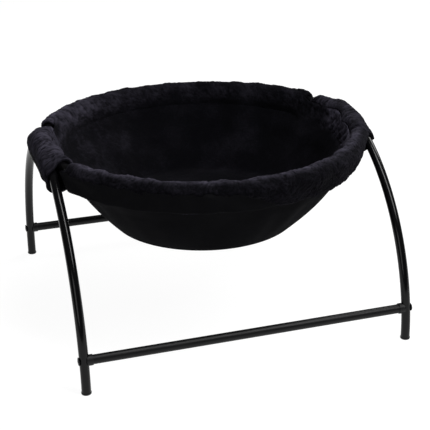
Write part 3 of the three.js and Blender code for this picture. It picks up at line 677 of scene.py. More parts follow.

# Polyester plush, knitted with a short curled pile. Fibre ends catch the light at grazing angles. Its colour
# is painted light and shade: painted shade makes the valleys between curls black, and the pile attribute
# lightens or darkens it as painted light.
curly_plush, tree, place = start_material("curly_polyester_plush")
# The pile attribute is painted light and shade, set on each piece over its curl heights.
pile = node(tree, "ShaderNodeAttribute", {}, attribute_name="pile").outputs["Fac"]
fibres = node(tree, "ShaderNodeTexNoise", {
    "Vector": place,
    "Scale": 1 / FIBRE,
    "Detail": 3.0,
    "Roughness": 0.65,
})
patches = node(tree, "ShaderNodeTexNoise", {"Vector": place, "Scale": 1 / PLUSH_PATCH, "Detail": 2.0})
lift = node(tree, "ShaderNodeMath", {0: fibres, 1: 0.5, 2: pile}, operation="MULTIPLY_ADD")
lift = node(tree, "ShaderNodeMath", {0: patches, 1: 0.3, 2: lift}, operation="MULTIPLY_ADD")
lift = node(tree, "ShaderNodeMapRange", {"Value": lift, "From Min": 0.44, "From Max": 1.4})
tones = {"Factor": lift, 6: linear(PLUSH_PAINTED_VALLEY_SHADE), 7: linear(PLUSH_TIP)}
dye_with_painted_light = node(tree, "ShaderNodeMix", tones, data_type="RGBA")
fuzz = node(tree, "ShaderNodeBump", {"Strength": 0.7, "Distance": FIBRE_RELIEF, "Height": fibres})
plush = node(tree, "ShaderNodeBsdfPrincipled", {
    "Base Color": dye_with_painted_light.outputs[2],
    "Roughness": 1.0,
    "Specular IOR Level": 0.08,
    "Sheen Weight": 0.02,
    "Sheen Roughness": 0.45,
    "Sheen Tint": linear(PLUSH_SHEEN),
    "Normal": fuzz,
})
node(tree, "ShaderNodeOutputMaterial", {"Surface": plush})

# Plain woven polyester, calendered smooth: matt and even, its weave too fine to see from a step away.
woven_polyester, tree, place = start_material("plain_woven_polyester")
cloth_place = node(tree, "ShaderNodeUVMap", {}, uv_map="cloth")
bands = {"Vector": cloth_place, "Scale": BANDS_AT_ONE / THREAD_SPACING, "Distortion": 0.3}
threads = [node(tree, "ShaderNodeTexWave", bands, bands_direction=heading) for heading in ("X", "Y")]
crossed = {k: thread.outputs["Fac"] for k, thread in enumerate(threads)}
weave = node(tree, "ShaderNodeMath", crossed, operation="MAXIMUM")
creases = node(tree, "ShaderNodeTexNoise", {"Vector": place, "Scale": 1 / CLOTH_CREASE, "Detail": 4.0})
tones = {"Factor": creases, 6: linear(CLOTH_BLACK), 7: linear(CLOTH_WORN)}
wear = node(tree, "ShaderNodeMix", tones, data_type="RGBA")
relief = node(tree, "ShaderNodeMath", {0: creases, 1: 3.0, 2: weave}, operation="MULTIPLY_ADD")
cloth_bump = node(tree, "ShaderNodeBump", {"Strength": 0.35, "Distance": CREASE_RELIEF, "Height": relief})
cloth = node(tree, "ShaderNodeBsdfPrincipled", {
    "Base Color": wear.outputs[2],
    "Roughness": 0.9,
    "Specular IOR Level": 0.022,
    "Normal": cloth_bump,
})
node(tree, "ShaderNodeOutputMaterial", {"Surface": cloth})


WAVE_COUNT = 40


def waves(places, spacing, seed):
    """An even random field with one hump and one hollow in each spacing, as a value near -1 to 1"""
    draw = np.random.default_rng(seed)
    total = np.zeros(places.shape[:-1])
    for _ in range(WAVE_COUNT):
        heading = draw.standard_normal(places.shape[-1])
        heading *= 2 * math.pi / spacing * draw.uniform(0.75, 1.3) / np.linalg.norm(heading)
        total += np.cos(places @ heading + draw.uniform(0, 2 * math.pi))
    return total * math.sqrt(2 / WAVE_COUNT)


def curls(places, seed):
    """Heights from 0 to 1 of a curly pile over places on the cloth: locks, humps and fine curls"""
    warp = np.stack([waves(places, 4 * CURL_SPACING, seed + 10 + k) for k in range(places.shape[-1])], -1)
    bent = places + 0.2 * CURL_SPACING * warp
    locks = 1 - np.exp(-((waves(bent, CURL_SPACING, seed) / 0.75) ** 2))
    fine = smooth_step(waves(bent, FINE_CURL_SPACING, seed + 1), -1.3, 1.3)
    patch = smooth_step(waves(places, 5 * CURL_SPACING, seed + 2), -1.6, 0.8)
    humps = smooth_step(waves(bent, 1.5 * CURL_SPACING, seed + 3), -1.5, 1.5)
    return np.clip((0.36 * locks + 0.34 * humps + 0.3 * fine) * mix(0.6, 1, patch), 0, 1)


def run_along(path):
    """How far each point of a section is along it"""
    return np.concatenate([[0], np.cumsum(np.linalg.norm(np.diff(path, axis=0), axis=1))])


def wrapped(ovals, columns):
    """Points and outward directions round the cloth pulled over ovals, evenly spaced, from its lowest point

    An oval is (distance out, height, half width, half height). Also gives the cloth's length round them.
    """
    turn = np.linspace(-math.pi / 2, 1.5 * math.pi, 4 * WRAP_STEPS + 1)
    out = np.stack([np.cos(turn), np.sin(turn)], 1)
    middle = np.array([[oval[0], oval[1]] for oval in ovals])
    half = np.array([[oval[2], oval[3]] for oval in ovals])
    stretch = np.linalg.norm(half[:, None] * out[None], axis=2)
    far = middle @ out.T + stretch
    best = far.argmax(0)
    step = np.arange(len(turn))
    touch = middle[best] + half[best] ** 2 * out / stretch[best, step][:, None]
    skin = touch + out * (POCKET_WALL + POCKET_PLAY)
    run = run_along(skin)
    even = np.linspace(0, run[-1], columns + 1)
    spot = np.stack([np.interp(even, run, touch[:, k]) for k in (0, 1)], 1)
    angle = np.interp(even, run, turn)
    return spot, np.stack([np.cos(angle), np.sin(angle)], 1), run[-1]


def sleeve_skin(last):
    """A pocket's skin as rows of (section number, share of the wall): outside, hem, lining, hem and home"""
    hem = [math.sin(k / HEM_ROWS * math.pi / 2) for k in range(1, HEM_ROWS + 1)]
    rows = [(k, 1.0) for k in range(last + 1)]
    rows += [(last, 1 - share) for share in hem]
    inner = np.linspace(last, 0, LINING_ROWS + 1)[1:]
    rows += [(k, 0.0) for k in inner]
    rows += [(0, 1 - share) for share in reversed(hem[:-1])]
    rows.append((0, 1.0))
    return rows


outer_grow = POCKET_PLAY + POCKET_WALL
seam_radius = rim_radius - SEAM_INSET
seam_height = rim_height - SEAM_DROP
end_outside = rim_radius + tube_radius + outer_grow
end_angle = math.acos((half_spacing - tube_radius - NOTCH_CLEARANCE) / end_outside)
EDGE_DROP = 0.0108  # the plush's ragged edge lies this far below the top of the pocket
EDGE_RAGGED = 0.0013
EDGE_WAVE = 0.022
EDGE_FINE_WAVE = 0.008
EDGE_BLEND = 0.0012
FULL_PLUSH_START = math.radians(100)  # from here to the right-hand notch the front pocket is plush all over
FULL_PLUSH_END = math.radians(62)
FULL_PLUSH_DROP = 0.03
HEM_PINCH = 0.0016
HEM_LENGTH = 0.006
SLACK = 0.0006
SLACK_WAVE = 0.035
LIP_FADE = math.radians(3)
END_LIP = {-1: math.radians(150), 1: math.radians(105)}
PILE_FOOT = 0.0003
PILE_DEPTH = {"front": 0.0019, "rear": 0.0017, "left": 0.0014, "right": 0.0014}
# Painted light and shade on each pocket's pile, lighter where the lamps fall on it and darker where they
# don't: the share at the right or front hem, the level towards that end and towards the other end, and the
# share on the outer side
POCKET_PAINTED_LIGHT = {
    "front": (1, 0.85, 1.08, 0.2),
    "rear": (1, 0.12, 1.3, 1),
    "left": (0.6, 1.0, 1.1, 1),
    "right": (0.8, 0.5, 0.6, 1),
}
PAINTED_LIGHT_TURN = (0.6, 0.9)  # the share of a pocket's length over which its painted light turns from one level to the other
# painted shade at the right or front hem, fading out between these distances from it
PAINTED_HEM_SHADE = (0.009, 0.017)
# painted shade on a pocket's outer side, between these shares of its outward direction
PAINTED_OUTSIDE_SHADE = (-0.1, 0.7)
# How far each corner's pocket end is drawn on towards the leg, as an angle about the bed's middle
END_REACH = {(-1, -1): -0.02, (1, -1): 0.024, (-1, 1): -0.03, (1, 1): -0.026}
END_REACH_LENGTH = 0.3
LOW_REACH = {-1: 0.073, 1: 0.05}  # and how much further its lower outer edge reaches at the front
LOW_REACH_LENGTH = 0.16
LEG_GAP = 0.0006


def add_sleeve(name, sections, lengths, place, plush, seed, stretch, lip, tucks):
    """Builds a pocket from its sections, with the pile raised where it is plush and a rolled hem at each end

    place turns a section's points into the bed's, and plush says where the plush is, from 0 to 1. The pile
    ends at the lip, the direction in a section where the liner is sewn on. A tuck is (along, round, reach
    along, reach round, depth).
    """
    spots = np.array([section[0] for section in sections])
    outs = np.array([section[1] for section in sections])
    rounds = np.array([np.linspace(0, section[2], spots.shape[1]) for section in sections])
    last = len(lengths) - 1
    rows = sleeve_skin(last)
    numbers = np.array([row for row, _ in rows])
    wall = np.array([share for _, share in rows])[:, None]
    below = np.floor(numbers).astype(int)
    above = np.minimum(below + 1, last)
    part = (numbers - below)[:, None]
    spot = mix(spots[below], spots[above], part[..., None])
    out = mix(outs[below], outs[above], part[..., None])
    length = mix(lengths[below], lengths[above], part[:, 0])[:, None] + 0 * spot[..., 0]
    around = mix(rounds[below], rounds[above], part)
    cover = plush(numbers / last, spot + out * outer_grow, out)
    tucked = 0
    for tuck_along, tuck_round, reach_along, reach_round, tuck_depth in tucks:
        near = ((length - tuck_along) / reach_along) ** 2 + ((around - tuck_round) / reach_round) ** 2
        tucked = tucked - tuck_depth * np.exp(-near)
    on_cloth = np.stack([length, around], -1)
    heights = curls(on_cloth * np.array(stretch), seed)
    girth = around[:, -1:]
    seam_fade = smooth_step(np.minimum(around, girth - around), 0, SEAM_FADE)
    end_fade = smooth_step(np.minimum(length, lengths[-1] - length), 0, HEM_LENGTH)
    slack = SLACK * waves(on_cloth, SLACK_WAVE, seed + 5)
    open_pile = smooth_step(out[..., 0], math.cos(lip), math.cos(lip - LIP_FADE))
    pile_height = PILE_FOOT + PILE_DEPTH[name] * heights
    raised = cover * open_pile * pile_height * mix(PINCHED_PILE, 1, seam_fade * end_fade)
    pinch = HEM_PINCH * (1 - end_fade)
    grow = mix(POCKET_PLAY, outer_grow - pinch + raised + (slack + tucked) * end_fade, wall)
    points = place(numbers, spot + out * grow[..., None], out)
    points[:, -1] = points[:, 0]
    # The pile attribute is painted light and shade: the curl heights times the pocket's painted light
    # levels.
    hem_share, near_level, far_level, outside_share = POCKET_PAINTED_LIGHT[name]
    painted_light = mix(near_level, far_level, smooth_step(length / lengths[-1], *PAINTED_LIGHT_TURN))
    painted_light = painted_light * mix(hem_share, 1, smooth_step(length, *PAINTED_HEM_SHADE))
    painted_light = painted_light * mix(1, outside_share, smooth_step(out[..., 0], *PAINTED_OUTSIDE_SHADE))
    pile = painted_light * heights * cover * wall
    work = sewn_mesh(name, points, length, around, [("pile", pile), ("cover", cover)])
    piece = add_piece(work, name + "_pocket", curly_plush, [name + "_sleeve"])
    piece.data.materials.append(woven_polyester)
    shade = np.empty(len(piece.data.vertices), np.float32)
    piece.data.attributes["cover"].data.foreach_get("value", shade)
    for face in piece.data.polygons:
        face.material_index = int(sum(shade[k] for k in face.vertices) < 2)
    return piece


def plush_above(edge, skin, outside):
    """1 where a pocket is plush: all its inside, and its outside above a ragged edge"""
    return 1 - outside * (1 - smooth_step(skin[..., 1], edge - EDGE_BLEND, edge + EDGE_BLEND))


END_COLUMNS = 88
# Along its middle the rear pocket's plush is stretched thin over the top of the tube.
END_TUCKS = {-1: (), 1: ((0.24, 0.045, 0.15, 0.018, 0.0017),)}
leg_inside = half_spacing - tube_radius - LEG_GAP
end_length = rim_radius * (math.pi - 2 * end_angle)
end_rows = round(end_length / FABRIC_STEP)
end_turns = np.linspace(end_angle, math.pi - end_angle, end_rows + 1)
end_sections = []
for turn in end_turns:
    tube_z = rim_height - (rim_radius * math.sin(turn) - RIM_BOLT_Y) * math.sin(RIM_DROOP)
    end_sections.append(wrapped((
        (rim_radius, tube_z, tube_radius, tube_radius),
        (seam_radius, seam_height, SEAM_ROUND, SEAM_ROUND),
    ), END_COLUMNS))
end_lengths = np.linspace(0, end_length, end_rows + 1)

for name, end, seed in (("front", -1, 21), ("rear", 1, 33)):
    def place_round(numbers, section, out, end=end):
        turn = np.interp(numbers, np.arange(len(end_turns)), end_turns)[:, None]
        right = 1 - smooth_step(turn - end_angle, 0, END_REACH_LENGTH)
        left = 1 - smooth_step(math.pi - end_angle - turn, 0, END_REACH_LENGTH)
        turn = turn - END_REACH[1, end] * right + END_REACH[-1, end] * left
        if end < 0:
            low = smooth_step(-out[..., 1], -0.5, 0.4) * smooth_step(out[..., 0], -0.3, 0.4)
            from_right = turn - end_angle
            from_left = math.pi - end_angle - turn
            turn = turn - LOW_REACH[1] * low * (1 - smooth_step(from_right, 0, LOW_REACH_LENGTH))
            turn = turn + LOW_REACH[-1] * low * (1 - smooth_step(from_left, 0, LOW_REACH_LENGTH))
        x = np.clip(section[..., 0] * np.cos(turn), -leg_inside, leg_inside)
        return np.stack([x, end * section[..., 0] * np.sin(turn), section[..., 1]], -1)

    def plush_on_top(share, skin, out, end=end, seed=seed):
        turn = mix(end_angle, math.pi - end_angle, share)[:, None] + 0 * skin[..., 0]
        ragged = np.stack([turn * rim_radius, skin[..., 1]], -1)
        edge = skin[..., 1].max(1, keepdims=True) - EDGE_DROP
        edge = edge + EDGE_RAGGED * waves(ragged, EDGE_WAVE, seed + 7)
        edge = edge + 0.4 * EDGE_RAGGED * waves(ragged, EDGE_FINE_WAVE, seed + 8)
        if end < 0:
            all_over = 1 - smooth_step(turn, FULL_PLUSH_END, FULL_PLUSH_START)
            edge = mix(edge, seam_height - FULL_PLUSH_DROP, all_over)
        return plush_above(edge, skin, smooth_step(out[..., 0], -0.2, 0.2))

    piece = add_sleeve(
        name, end_sections, end_lengths, place_round, plush_on_top, seed, (1.0, 0.85), END_LIP[end],
        END_TUCKS[end],
    )


# Side pockets
# The two side pockets wrap the arch's top, the rim's bolted ends and their bolts in one loose tube of plush.
# The outer flap below the arch is the smooth cloth, and each end leaves a gap where a leg comes out.
FLAP_REACH = 0.003
NOTCH_WIDTH = 0.010
CLOTH_TUCK = 0.038
SIDE_COLUMNS = 120
SIDE_EDGE_DROP = 0.030
SIDE_LIP = math.radians(165)
# How far the roof of each corner's pocket end reaches on over the gap, and between which distances out
ROOF_REACH = {(-1, -1): -0.004, (1, -1): 0.0055, (-1, 1): -0.011, (1, 1): -0.005}
ROOF_STRETCH = 0.025
FLAP_PULL = {(1, -1): 0.010}  # and how far its underside is drawn back at the corner where it would show
# The left pocket is drawn in once before its front end, and the right one is tucked on its inner side.
SIDE_TUCKS = {
    -1: ((0.014, 0.055, 0.0024, 0.030, 0.0026), (0.052, 0.085, 0.003, 0.012, 0.0014)),
    1: (
        (0.055, 0.049, 0.042, 0.020, 0.0037),
        (0.078, 0.098, 0.0024, 0.013, 0.0024),
        (0.087, 0.102, 0.0022, 0.015, 0.0028),
        (0.097, 0.096, 0.0026, 0.012, 0.0022),
        (0.108, 0.090, 0.0024, 0.010, 0.0014),
    ),
}
ROOF_INSIDE = (0.188, 0.199)
ROOF_OUTSIDE = (0.207, 0.214)
side_half = rim_radius * math.sin(end_angle) - NOTCH_WIDTH
head_inside = tab_x - TAB_THICKNESS / 2 - FIT - HEAD_HEIGHT
flap_x = half_spacing + FLAP_REACH
side_rows = round(2 * side_half / FABRIC_STEP)
side_ys = np.linspace(-side_half, side_half, side_rows + 1)
side_sections = []
for y in side_ys:
    away = abs(y)
    height, slope = arch_at(y)
    reached = float(smooth_step(away, 0, CLOTH_TUCK))
    ring_angle = math.asin(away / rim_radius)
    ring_x = min(tab_x, rim_radius * math.cos(ring_angle))
    ring_z = rim_height - max(0, away - RIM_BOLT_Y) * math.sin(RIM_DROOP)
    ring_wide = max(tube_radius / math.cos(ring_angle), tab_x - head_inside + FIT)
    rounded = float(smooth_step(away, RIM_BOLT_Y, RIM_BOLT_Y + PRESS_FLAT + PRESS_FADE))
    ring_high = tube_radius * mix(PRESS_SPREAD_SHARE, 1, rounded)
    side_sections.append(wrapped((
        (half_spacing, float(height), tube_radius, tube_radius / math.cos(slope)),
        (
            mix(half_spacing, ring_x, reached),
            mix(float(height), ring_z, reached),
            ring_wide,
            mix(tube_radius, ring_high, reached),
        ),
        (math.sqrt(seam_radius**2 - y**2), seam_height, SEAM_ROUND, SEAM_ROUND),
        (flap_x, seam_height, SEAM_ROUND, SEAM_ROUND),
    ), SIDE_COLUMNS))
side_lengths = np.linspace(0, 2 * side_half, side_rows + 1)

for name, side, seed in (("left", -1, 45), ("right", 1, 57)):
    def place_along(numbers, section, out, side=side):
        y = np.interp(numbers, np.arange(len(side_ys)), side_ys)[:, None] + 0 * section[..., 0]
        roof = smooth_step(out[..., 1], -0.3, 0.3) * smooth_step(section[..., 0], *ROOF_INSIDE)
        roof = roof * (1 - smooth_step(section[..., 0], *ROOF_OUTSIDE))
        under = smooth_step(-out[..., 1], -0.2, 0.5)
        for end in (-1, 1):
            near = smooth_step(end * y, side_half - ROOF_STRETCH, side_half)
            reach = ROOF_REACH[side, end] * roof - FLAP_PULL.get((side, end), 0) * under
            y = y + end * near * reach
        return np.stack([side * section[..., 0], y, section[..., 1]], -1)

    def plush_but_flap(share, skin, out, seed=seed):
        ragged = np.stack([2 * side_half * share[:, None] + 0 * skin[..., 0], skin[..., 1]], -1)
        edge = skin[..., 1].max(1, keepdims=True) - SIDE_EDGE_DROP
        edge = edge + EDGE_RAGGED * waves(ragged, EDGE_WAVE, seed + 7)
        return plush_above(edge, skin, smooth_step(out[..., 0], 0.1, 0.5))

    piece = add_sleeve(
        name, side_sections, side_lengths, place_along, plush_but_flap, seed, (1.0, 0.5), SIDE_LIP,
        SIDE_TUCKS[side],
    )


# Outer shell
# The bowl's outside is one band of smooth black cloth, cut on a curve, sewn to the pockets at its top and to
# a round bottom panel below. It hangs in shallow upright folds from the rim.
SHELL_THICKNESS = 0.002
POCKET_CLEARANCE = 0.0008
SHELL_TOP_DROP = 0.0222
SHOULDER_DROP = 0.0346
SHOULDER_INSET = 0.0172
WAIST_DROP = 0.0883
WAIST_INSET = 0.054
BASE_DROP = 0.119
BASE_INSET = 0.0846
BASE_SAG = 0.006
FOLD_DEPTH = 0.0016
FOLD_START_SHARE = 0.5
FOLD_COUNTS = (9, 5)  # two sets of folds round the bowl, so that they come unevenly
SHOULDER_SHIFT = 0.0055  # the sling hangs this far to the right below its shoulder, and less at its base
BASE_SHIFT = 0.0033
SHELL_SIDES = 400
SHELL_ROWS = 64
FLANK_ROWS = 60
WALL_EASING = 6
EDGE_ROWS = 2
CLOTH_RADIUS = 0.17  # the radius at which cloth is laid out round the bowl
WALL_SQUEEZE = 0.18  # the share of a height that counts for folds, so that they stand upright
STREAK_WAVE = 0.045
STREAK_DEPTH = 0.0009
GATHER_WAVE = 0.016
GATHER_DEPTH = 0.0007
GATHER_LENGTH = 0.02

shoulder_height = rim_height - SHOULDER_DROP
base_height = rim_height - BASE_DROP
base_radius = rim_radius - BASE_INSET
shell_top_radius = seam_radius - SEAM_ROUND - outer_grow - POCKET_CLEARANCE
shell_top_height = rim_height - SHELL_TOP_DROP


def flank(steps):
    """The shell's outer side in section, from its shoulder to the seam of the base, as (radius, height)"""
    t = np.linspace(0, 1, steps + 1)[:, None]
    shoulder = np.array([rim_radius - SHOULDER_INSET, shoulder_height])
    waist = np.array([rim_radius - WAIST_INSET, rim_height - WAIST_DROP])
    seam = np.array([base_radius, base_height])
    return (1 - t) ** 2 * shoulder + 2 * t * (1 - t) * waist + t**2 * seam


def even_path(path, steps):
    """A section's points spaced evenly along it, and its length"""
    run = run_along(path)
    even = np.linspace(0, run[-1], steps + 1)
    return np.stack([np.interp(even, run, path[:, k]) for k in (0, 1)], 1), run[-1]


def inward(path):
    """The directions square to a section that runs down its outside, towards the bowl's middle"""
    along = np.gradient(path, axis=0)
    along /= np.linalg.norm(along, axis=1, keepdims=True)
    return np.stack([along[:, 1], -along[:, 0]], 1)


def upright(turns, heights):
    """Places round the bowl on which random folds stand upright"""
    circle = np.stack([np.cos(turns), np.sin(turns)], -1) * CLOTH_RADIUS
    return np.concatenate([np.broadcast_to(circle, (*heights.shape, 2)), heights[..., None]], -1)


def hung(section, turns):
    """Turns a section about the Z axis and drapes it as the sling: upright folds and a hang to the right"""
    radius = section[..., 0]
    height = section[..., 1]
    down = np.clip((shoulder_height - height) / (shoulder_height - base_height), 0, 1)
    out = smooth_step(radius, base_radius * FOLD_START_SHARE, base_radius)
    wave = np.cos(FOLD_COUNTS[0] * turns) + np.sin(FOLD_COUNTS[1] * turns)
    radius = radius + FOLD_DEPTH * wave * np.sin(math.pi * down) * out
    shift = SHOULDER_SHIFT * smooth_step(down, 0, 0.3) + (BASE_SHIFT - SHOULDER_SHIFT) * down
    return np.stack([radius * np.cos(turns) + shift, radius * np.sin(turns), height + 0 * turns], -1)


wall_path, wall_length = even_path(
    np.concatenate([[[shell_top_radius, shell_top_height]], flank(FLANK_ROWS)]), SHELL_ROWS
)
for _ in range(WALL_EASING):
    wall_path[1:-1] = (wall_path[:-2] + 2 * wall_path[1:-1] + wall_path[2:]) / 4
# The section is closed into a sheet: down its outside, round the low edge, up its inside and home.
normal = inward(wall_path)
run = run_along(wall_path)
half = SHELL_THICKNESS / 2
middle = wall_path + normal * half
tail = wall_path[-1] - wall_path[-2]
tail /= np.linalg.norm(tail)
head = wall_path[0] - wall_path[1]
head /= np.linalg.norm(head)
low_edge = []
top_edge = []
for turn in np.linspace(0, math.pi, EDGE_ROWS + 2)[1:-1]:
    low_edge.append(middle[-1] - normal[-1] * half * math.cos(turn) + tail * half * math.sin(turn))
    top_edge.append(middle[0] + normal[0] * half * math.cos(turn) + head * half * math.sin(turn))
inside = (wall_path + normal * SHELL_THICKNESS)[::-1]
loop = np.concatenate([wall_path, low_edge, inside, top_edge, wall_path[:1]])
along = np.concatenate([run, [run[-1]] * EDGE_ROWS, run[::-1], [0] * EDGE_ROWS, [0]])
rows = len(wall_path)
turning = np.linspace(1, 0, EDGE_ROWS)
outer = np.concatenate([np.ones(rows), turning, np.zeros(rows), turning[::-1], [1]])

wall_turns = np.linspace(0, 2 * math.pi, SHELL_SIDES + 1)[:, None]
section = np.broadcast_to(loop[None], (SHELL_SIDES + 1, *loop.shape)).copy()
mid_down = np.sin(math.pi * np.clip(along / wall_length, 0, 1))[None]
tall = upright(wall_turns, np.broadcast_to(along * WALL_SQUEEZE, section.shape[:2]))
gathers = waves(tall, GATHER_WAVE, 71) * np.exp(-along / GATHER_LENGTH)[None]
streaks = waves(tall, STREAK_WAVE, 73)
section[..., 0] += outer * mid_down * (STREAK_DEPTH * streaks + GATHER_DEPTH * gathers)
points = hung(section, wall_turns)
points[-1] = points[0]
work = sewn_mesh(
    "shell_wall", points, wall_turns * CLOTH_RADIUS + 0 * section[..., 0], along[None] + 0 * section[..., 0],
)
shell = add_piece(work, "outer_shell", woven_polyester, ["shell_wall"])


# Bottom panel
# A round panel of the same cloth closes the shell below, sewn inside the wall's lower edge. It bellies down
# a few millimetres under the pad's weight.
PANEL_ROWS = 40
panel_radius = base_radius - SHELL_THICKNESS - 2 * FIT


def dish(radius, rise):
    """The base's outer side in section, from a radius in to the middle"""
    spread = np.linspace(radius, 0, PANEL_ROWS + 1)
    return np.stack([spread, base_height - BASE_SAG * (1 - (spread / base_radius) ** 2) + rise], 1)


PANEL_SIDES = 160
panel_turns = np.linspace(0, 2 * math.pi, PANEL_SIDES + 1)[:, None]


def dished_sheet(outer_path, inner_path):
    """A round sheet between a lower and an upper section, turned and draped"""
    loop = np.concatenate([outer_path, inner_path[::-1], outer_path[:1]])
    section = np.broadcast_to(loop[None], (PANEL_SIDES + 1, *loop.shape))
    points = hung(section, panel_turns)
    for column in (len(outer_path) - 1, len(outer_path)):
        points[:, column] = points[:, column].mean(0)
    points[-1] = points[0]
    return sewn_mesh("dish", points, points[..., 0], points[..., 1])


work = dished_sheet(dish(panel_radius, 0), dish(panel_radius, SHELL_THICKNESS))
panel = add_piece(work, "bottom_panel", woven_polyester, ["shell_base"])


# Base pad
# A disc of white polyester wadding between the liner and the bottom panel keeps the bowl's floor round and
# soft. It is punched from felted sheet, so its edge is soft and its faces are slightly uneven.
PAD_EDGE = 0.008
PAD_THICKNESS = 0.007
WADDING_WHITE = 0xDAD8D2
FELT_FIBRE = 0.002
FELT_RELIEF = 0.001

# Felted polyester wadding, white and quite matt, with an open fluffy face.
polyester_wadding, tree, place = start_material("polyester_wadding")
felt = node(tree, "ShaderNodeTexNoise", {"Vector": place, "Scale": 1 / FELT_FIBRE, "Detail": 4.0})
fluff = node(tree, "ShaderNodeBump", {"Strength": 0.5, "Distance": FELT_RELIEF, "Height": felt})
wadding = node(tree, "ShaderNodeBsdfPrincipled", {
    "Base Color": linear(WADDING_WHITE),
    "Roughness": 1.0,
    "Specular IOR Level": 0.1,
    "Normal": fluff,
})
node(tree, "ShaderNodeOutputMaterial", {"Surface": wadding})
pad_radius = base_radius - PAD_EDGE
pad_rise = SHELL_THICKNESS + FIT
pad_lower = dish(pad_radius, pad_rise)
pad_upper = dish(pad_radius - PAD_THICKNESS / 2, pad_rise + PAD_THICKNESS)
work = dished_sheet(pad_lower, pad_upper)
pad = add_piece(work, "wadding_pad", polyester_wadding, ["base_pad"])


# Plush liner
# The inside of the bowl, plush side in, cut as a round floor and a curved wall. Its top edge is sewn along
# the pockets and rolls over them, and its wall hangs in soft upright folds that die out on the padded floor.
LINER_THICKNESS = 0.008
LINER_LIP = 0.0011
LINER_SIDES = 480
LINER_ROWS = 144
LINER_BACK_STEP = 4
LINER_GAP = 0.0005
LIP_ROWS = 40
LIP_END = math.radians(182)
LIP_TAPER = 0.030
NOTCH_LIP = math.radians(172)
NOTCH_LIP_LENGTH = 0.07
NOTCH_BLEND = 0.04
FLOOR_EASING = 24
FLOOR_INSET = 0.004
LINER_SQUEEZE = 0.22
LINER_FOLD = 0.0017
FOLD_WAVE = 0.085
SMALL_FOLD_WAVE = 0.045
HANG_LENGTH = 0.16
CENTRE_FADE = 0.012
LINER_PILE = 0.0018
PILE_START = 0.0025
RIM_PILE_LENGTH = 0.036  # below this length the pile has been pressed flat by the cat
PRESSED_PILE = 0.4
# The liner's colour is lighter near the rim and darker below it: the pile there is pressed flat, and the
# darkening is also painted shade deeper in the bowl.
PRESSED_AND_PAINTED_SHADE = 0.07
RIM_SHADE = 0.32
WALL_PAINTED_LIGHT_AND_SHADE = (0.7, 2.4)  # painted shade on most of the wall, and painted light on the left wall
RIGHT_RIM_PAINTED_LIGHT = 5  # and painted light at the right of the rim, lighter still on the creases' crests
RIGHT_RIM = (0.75, 0.95)
RIGHT_RIM_REAR = (-0.06, 0.24)
# the distances down the liner over which the right rim's painted light fades out
PAINTED_RIM_LIGHT_RUNS = (0.014, 0.044)
CREASE_SPACING = 0.016
CREASE_SLANT = -0.95
CREASE_DEPTH = 0.0016
CREASE_WAVER = 0.03
CREASE_START = (0.004, 0.012)
CREASE_END = (0.022, 0.034)
GAP_SHADOW_TURN = math.radians(157.5)  # painted shadow in the gap behind the left pocket, where the pile is darkened
GAP_SHADOW_WIDTH = 0.065
GAP_SHADOW_DROP = 0.018

fine_flank = flank(FLANK_ROWS)
under_flank = fine_flank + inward(fine_flank) * (SHELL_THICKNESS + 2 * FIT)
floor_path = dish(pad_radius - FLOOR_INSET, pad_rise + PAD_THICKNESS + FIT)
below_pockets = np.array([[shell_top_radius - SHELL_THICKNESS - 3 * FIT, shell_top_height - FIT]])
lower_path = np.concatenate([below_pockets, under_flank[2:-6], floor_path])


def lip_curve(section, lip):
    """The inner side of a pocket's skin in section, from its lip down, as (distance out, height)"""
    spots, outs, _ = section
    facing = np.unwrap(np.arctan2(outs[:, 1], outs[:, 0]))
    number = np.arange(len(facing))
    picked = np.linspace(np.interp(lip, facing, number), np.interp(LIP_END, facing, number), LIP_ROWS)
    skin = spots + outs * (outer_grow + LINER_GAP)
    return np.stack([np.interp(picked, number, skin[:, k]) for k in (0, 1)], 1)


liner_turns = np.linspace(0, 2 * math.pi, LINER_SIDES + 1)
paths = []
for turn in liner_turns:
    from_side = abs((turn + math.pi / 2) % math.pi - math.pi / 2)
    y = min(shell_top_radius * math.sin(from_side), side_half)
    beside = lip_curve(side_sections[round((y / side_half + 1) / 2 * side_rows)], SIDE_LIP)
    beside[:, 0] /= math.cos(math.asin(y / shell_top_radius))
    share = max(0, (from_side - end_angle) / (math.pi - 2 * end_angle))
    end_lip = END_LIP[1 if turn < math.pi else -1]
    end_lip = mix(NOTCH_LIP, end_lip, float(smooth_step(from_side - end_angle, 0, NOTCH_LIP_LENGTH)))
    before = lip_curve(end_sections[round(share * end_rows)], end_lip)
    to_end = float(smooth_step(from_side, end_angle - NOTCH_BLEND, end_angle + NOTCH_BLEND / 2))
    path, _ = even_path(np.concatenate([mix(beside, before, to_end), lower_path]), LINER_ROWS)
    paths.append(path)
paths = np.array(paths)
for _ in range(FLOOR_EASING):
    paths[:, LIP_ROWS // 2:-1] = (
        paths[:, LIP_ROWS // 2 - 1:-2] + 2 * paths[:, LIP_ROWS // 2:-1] + paths[:, LIP_ROWS // 2 + 1:]
    ) / 4
    paths = (np.roll(paths[:-1], 1, 0) + 2 * paths[:-1] + np.roll(paths[:-1], -1, 0)) / 4
    paths = np.concatenate([paths, paths[:1]])

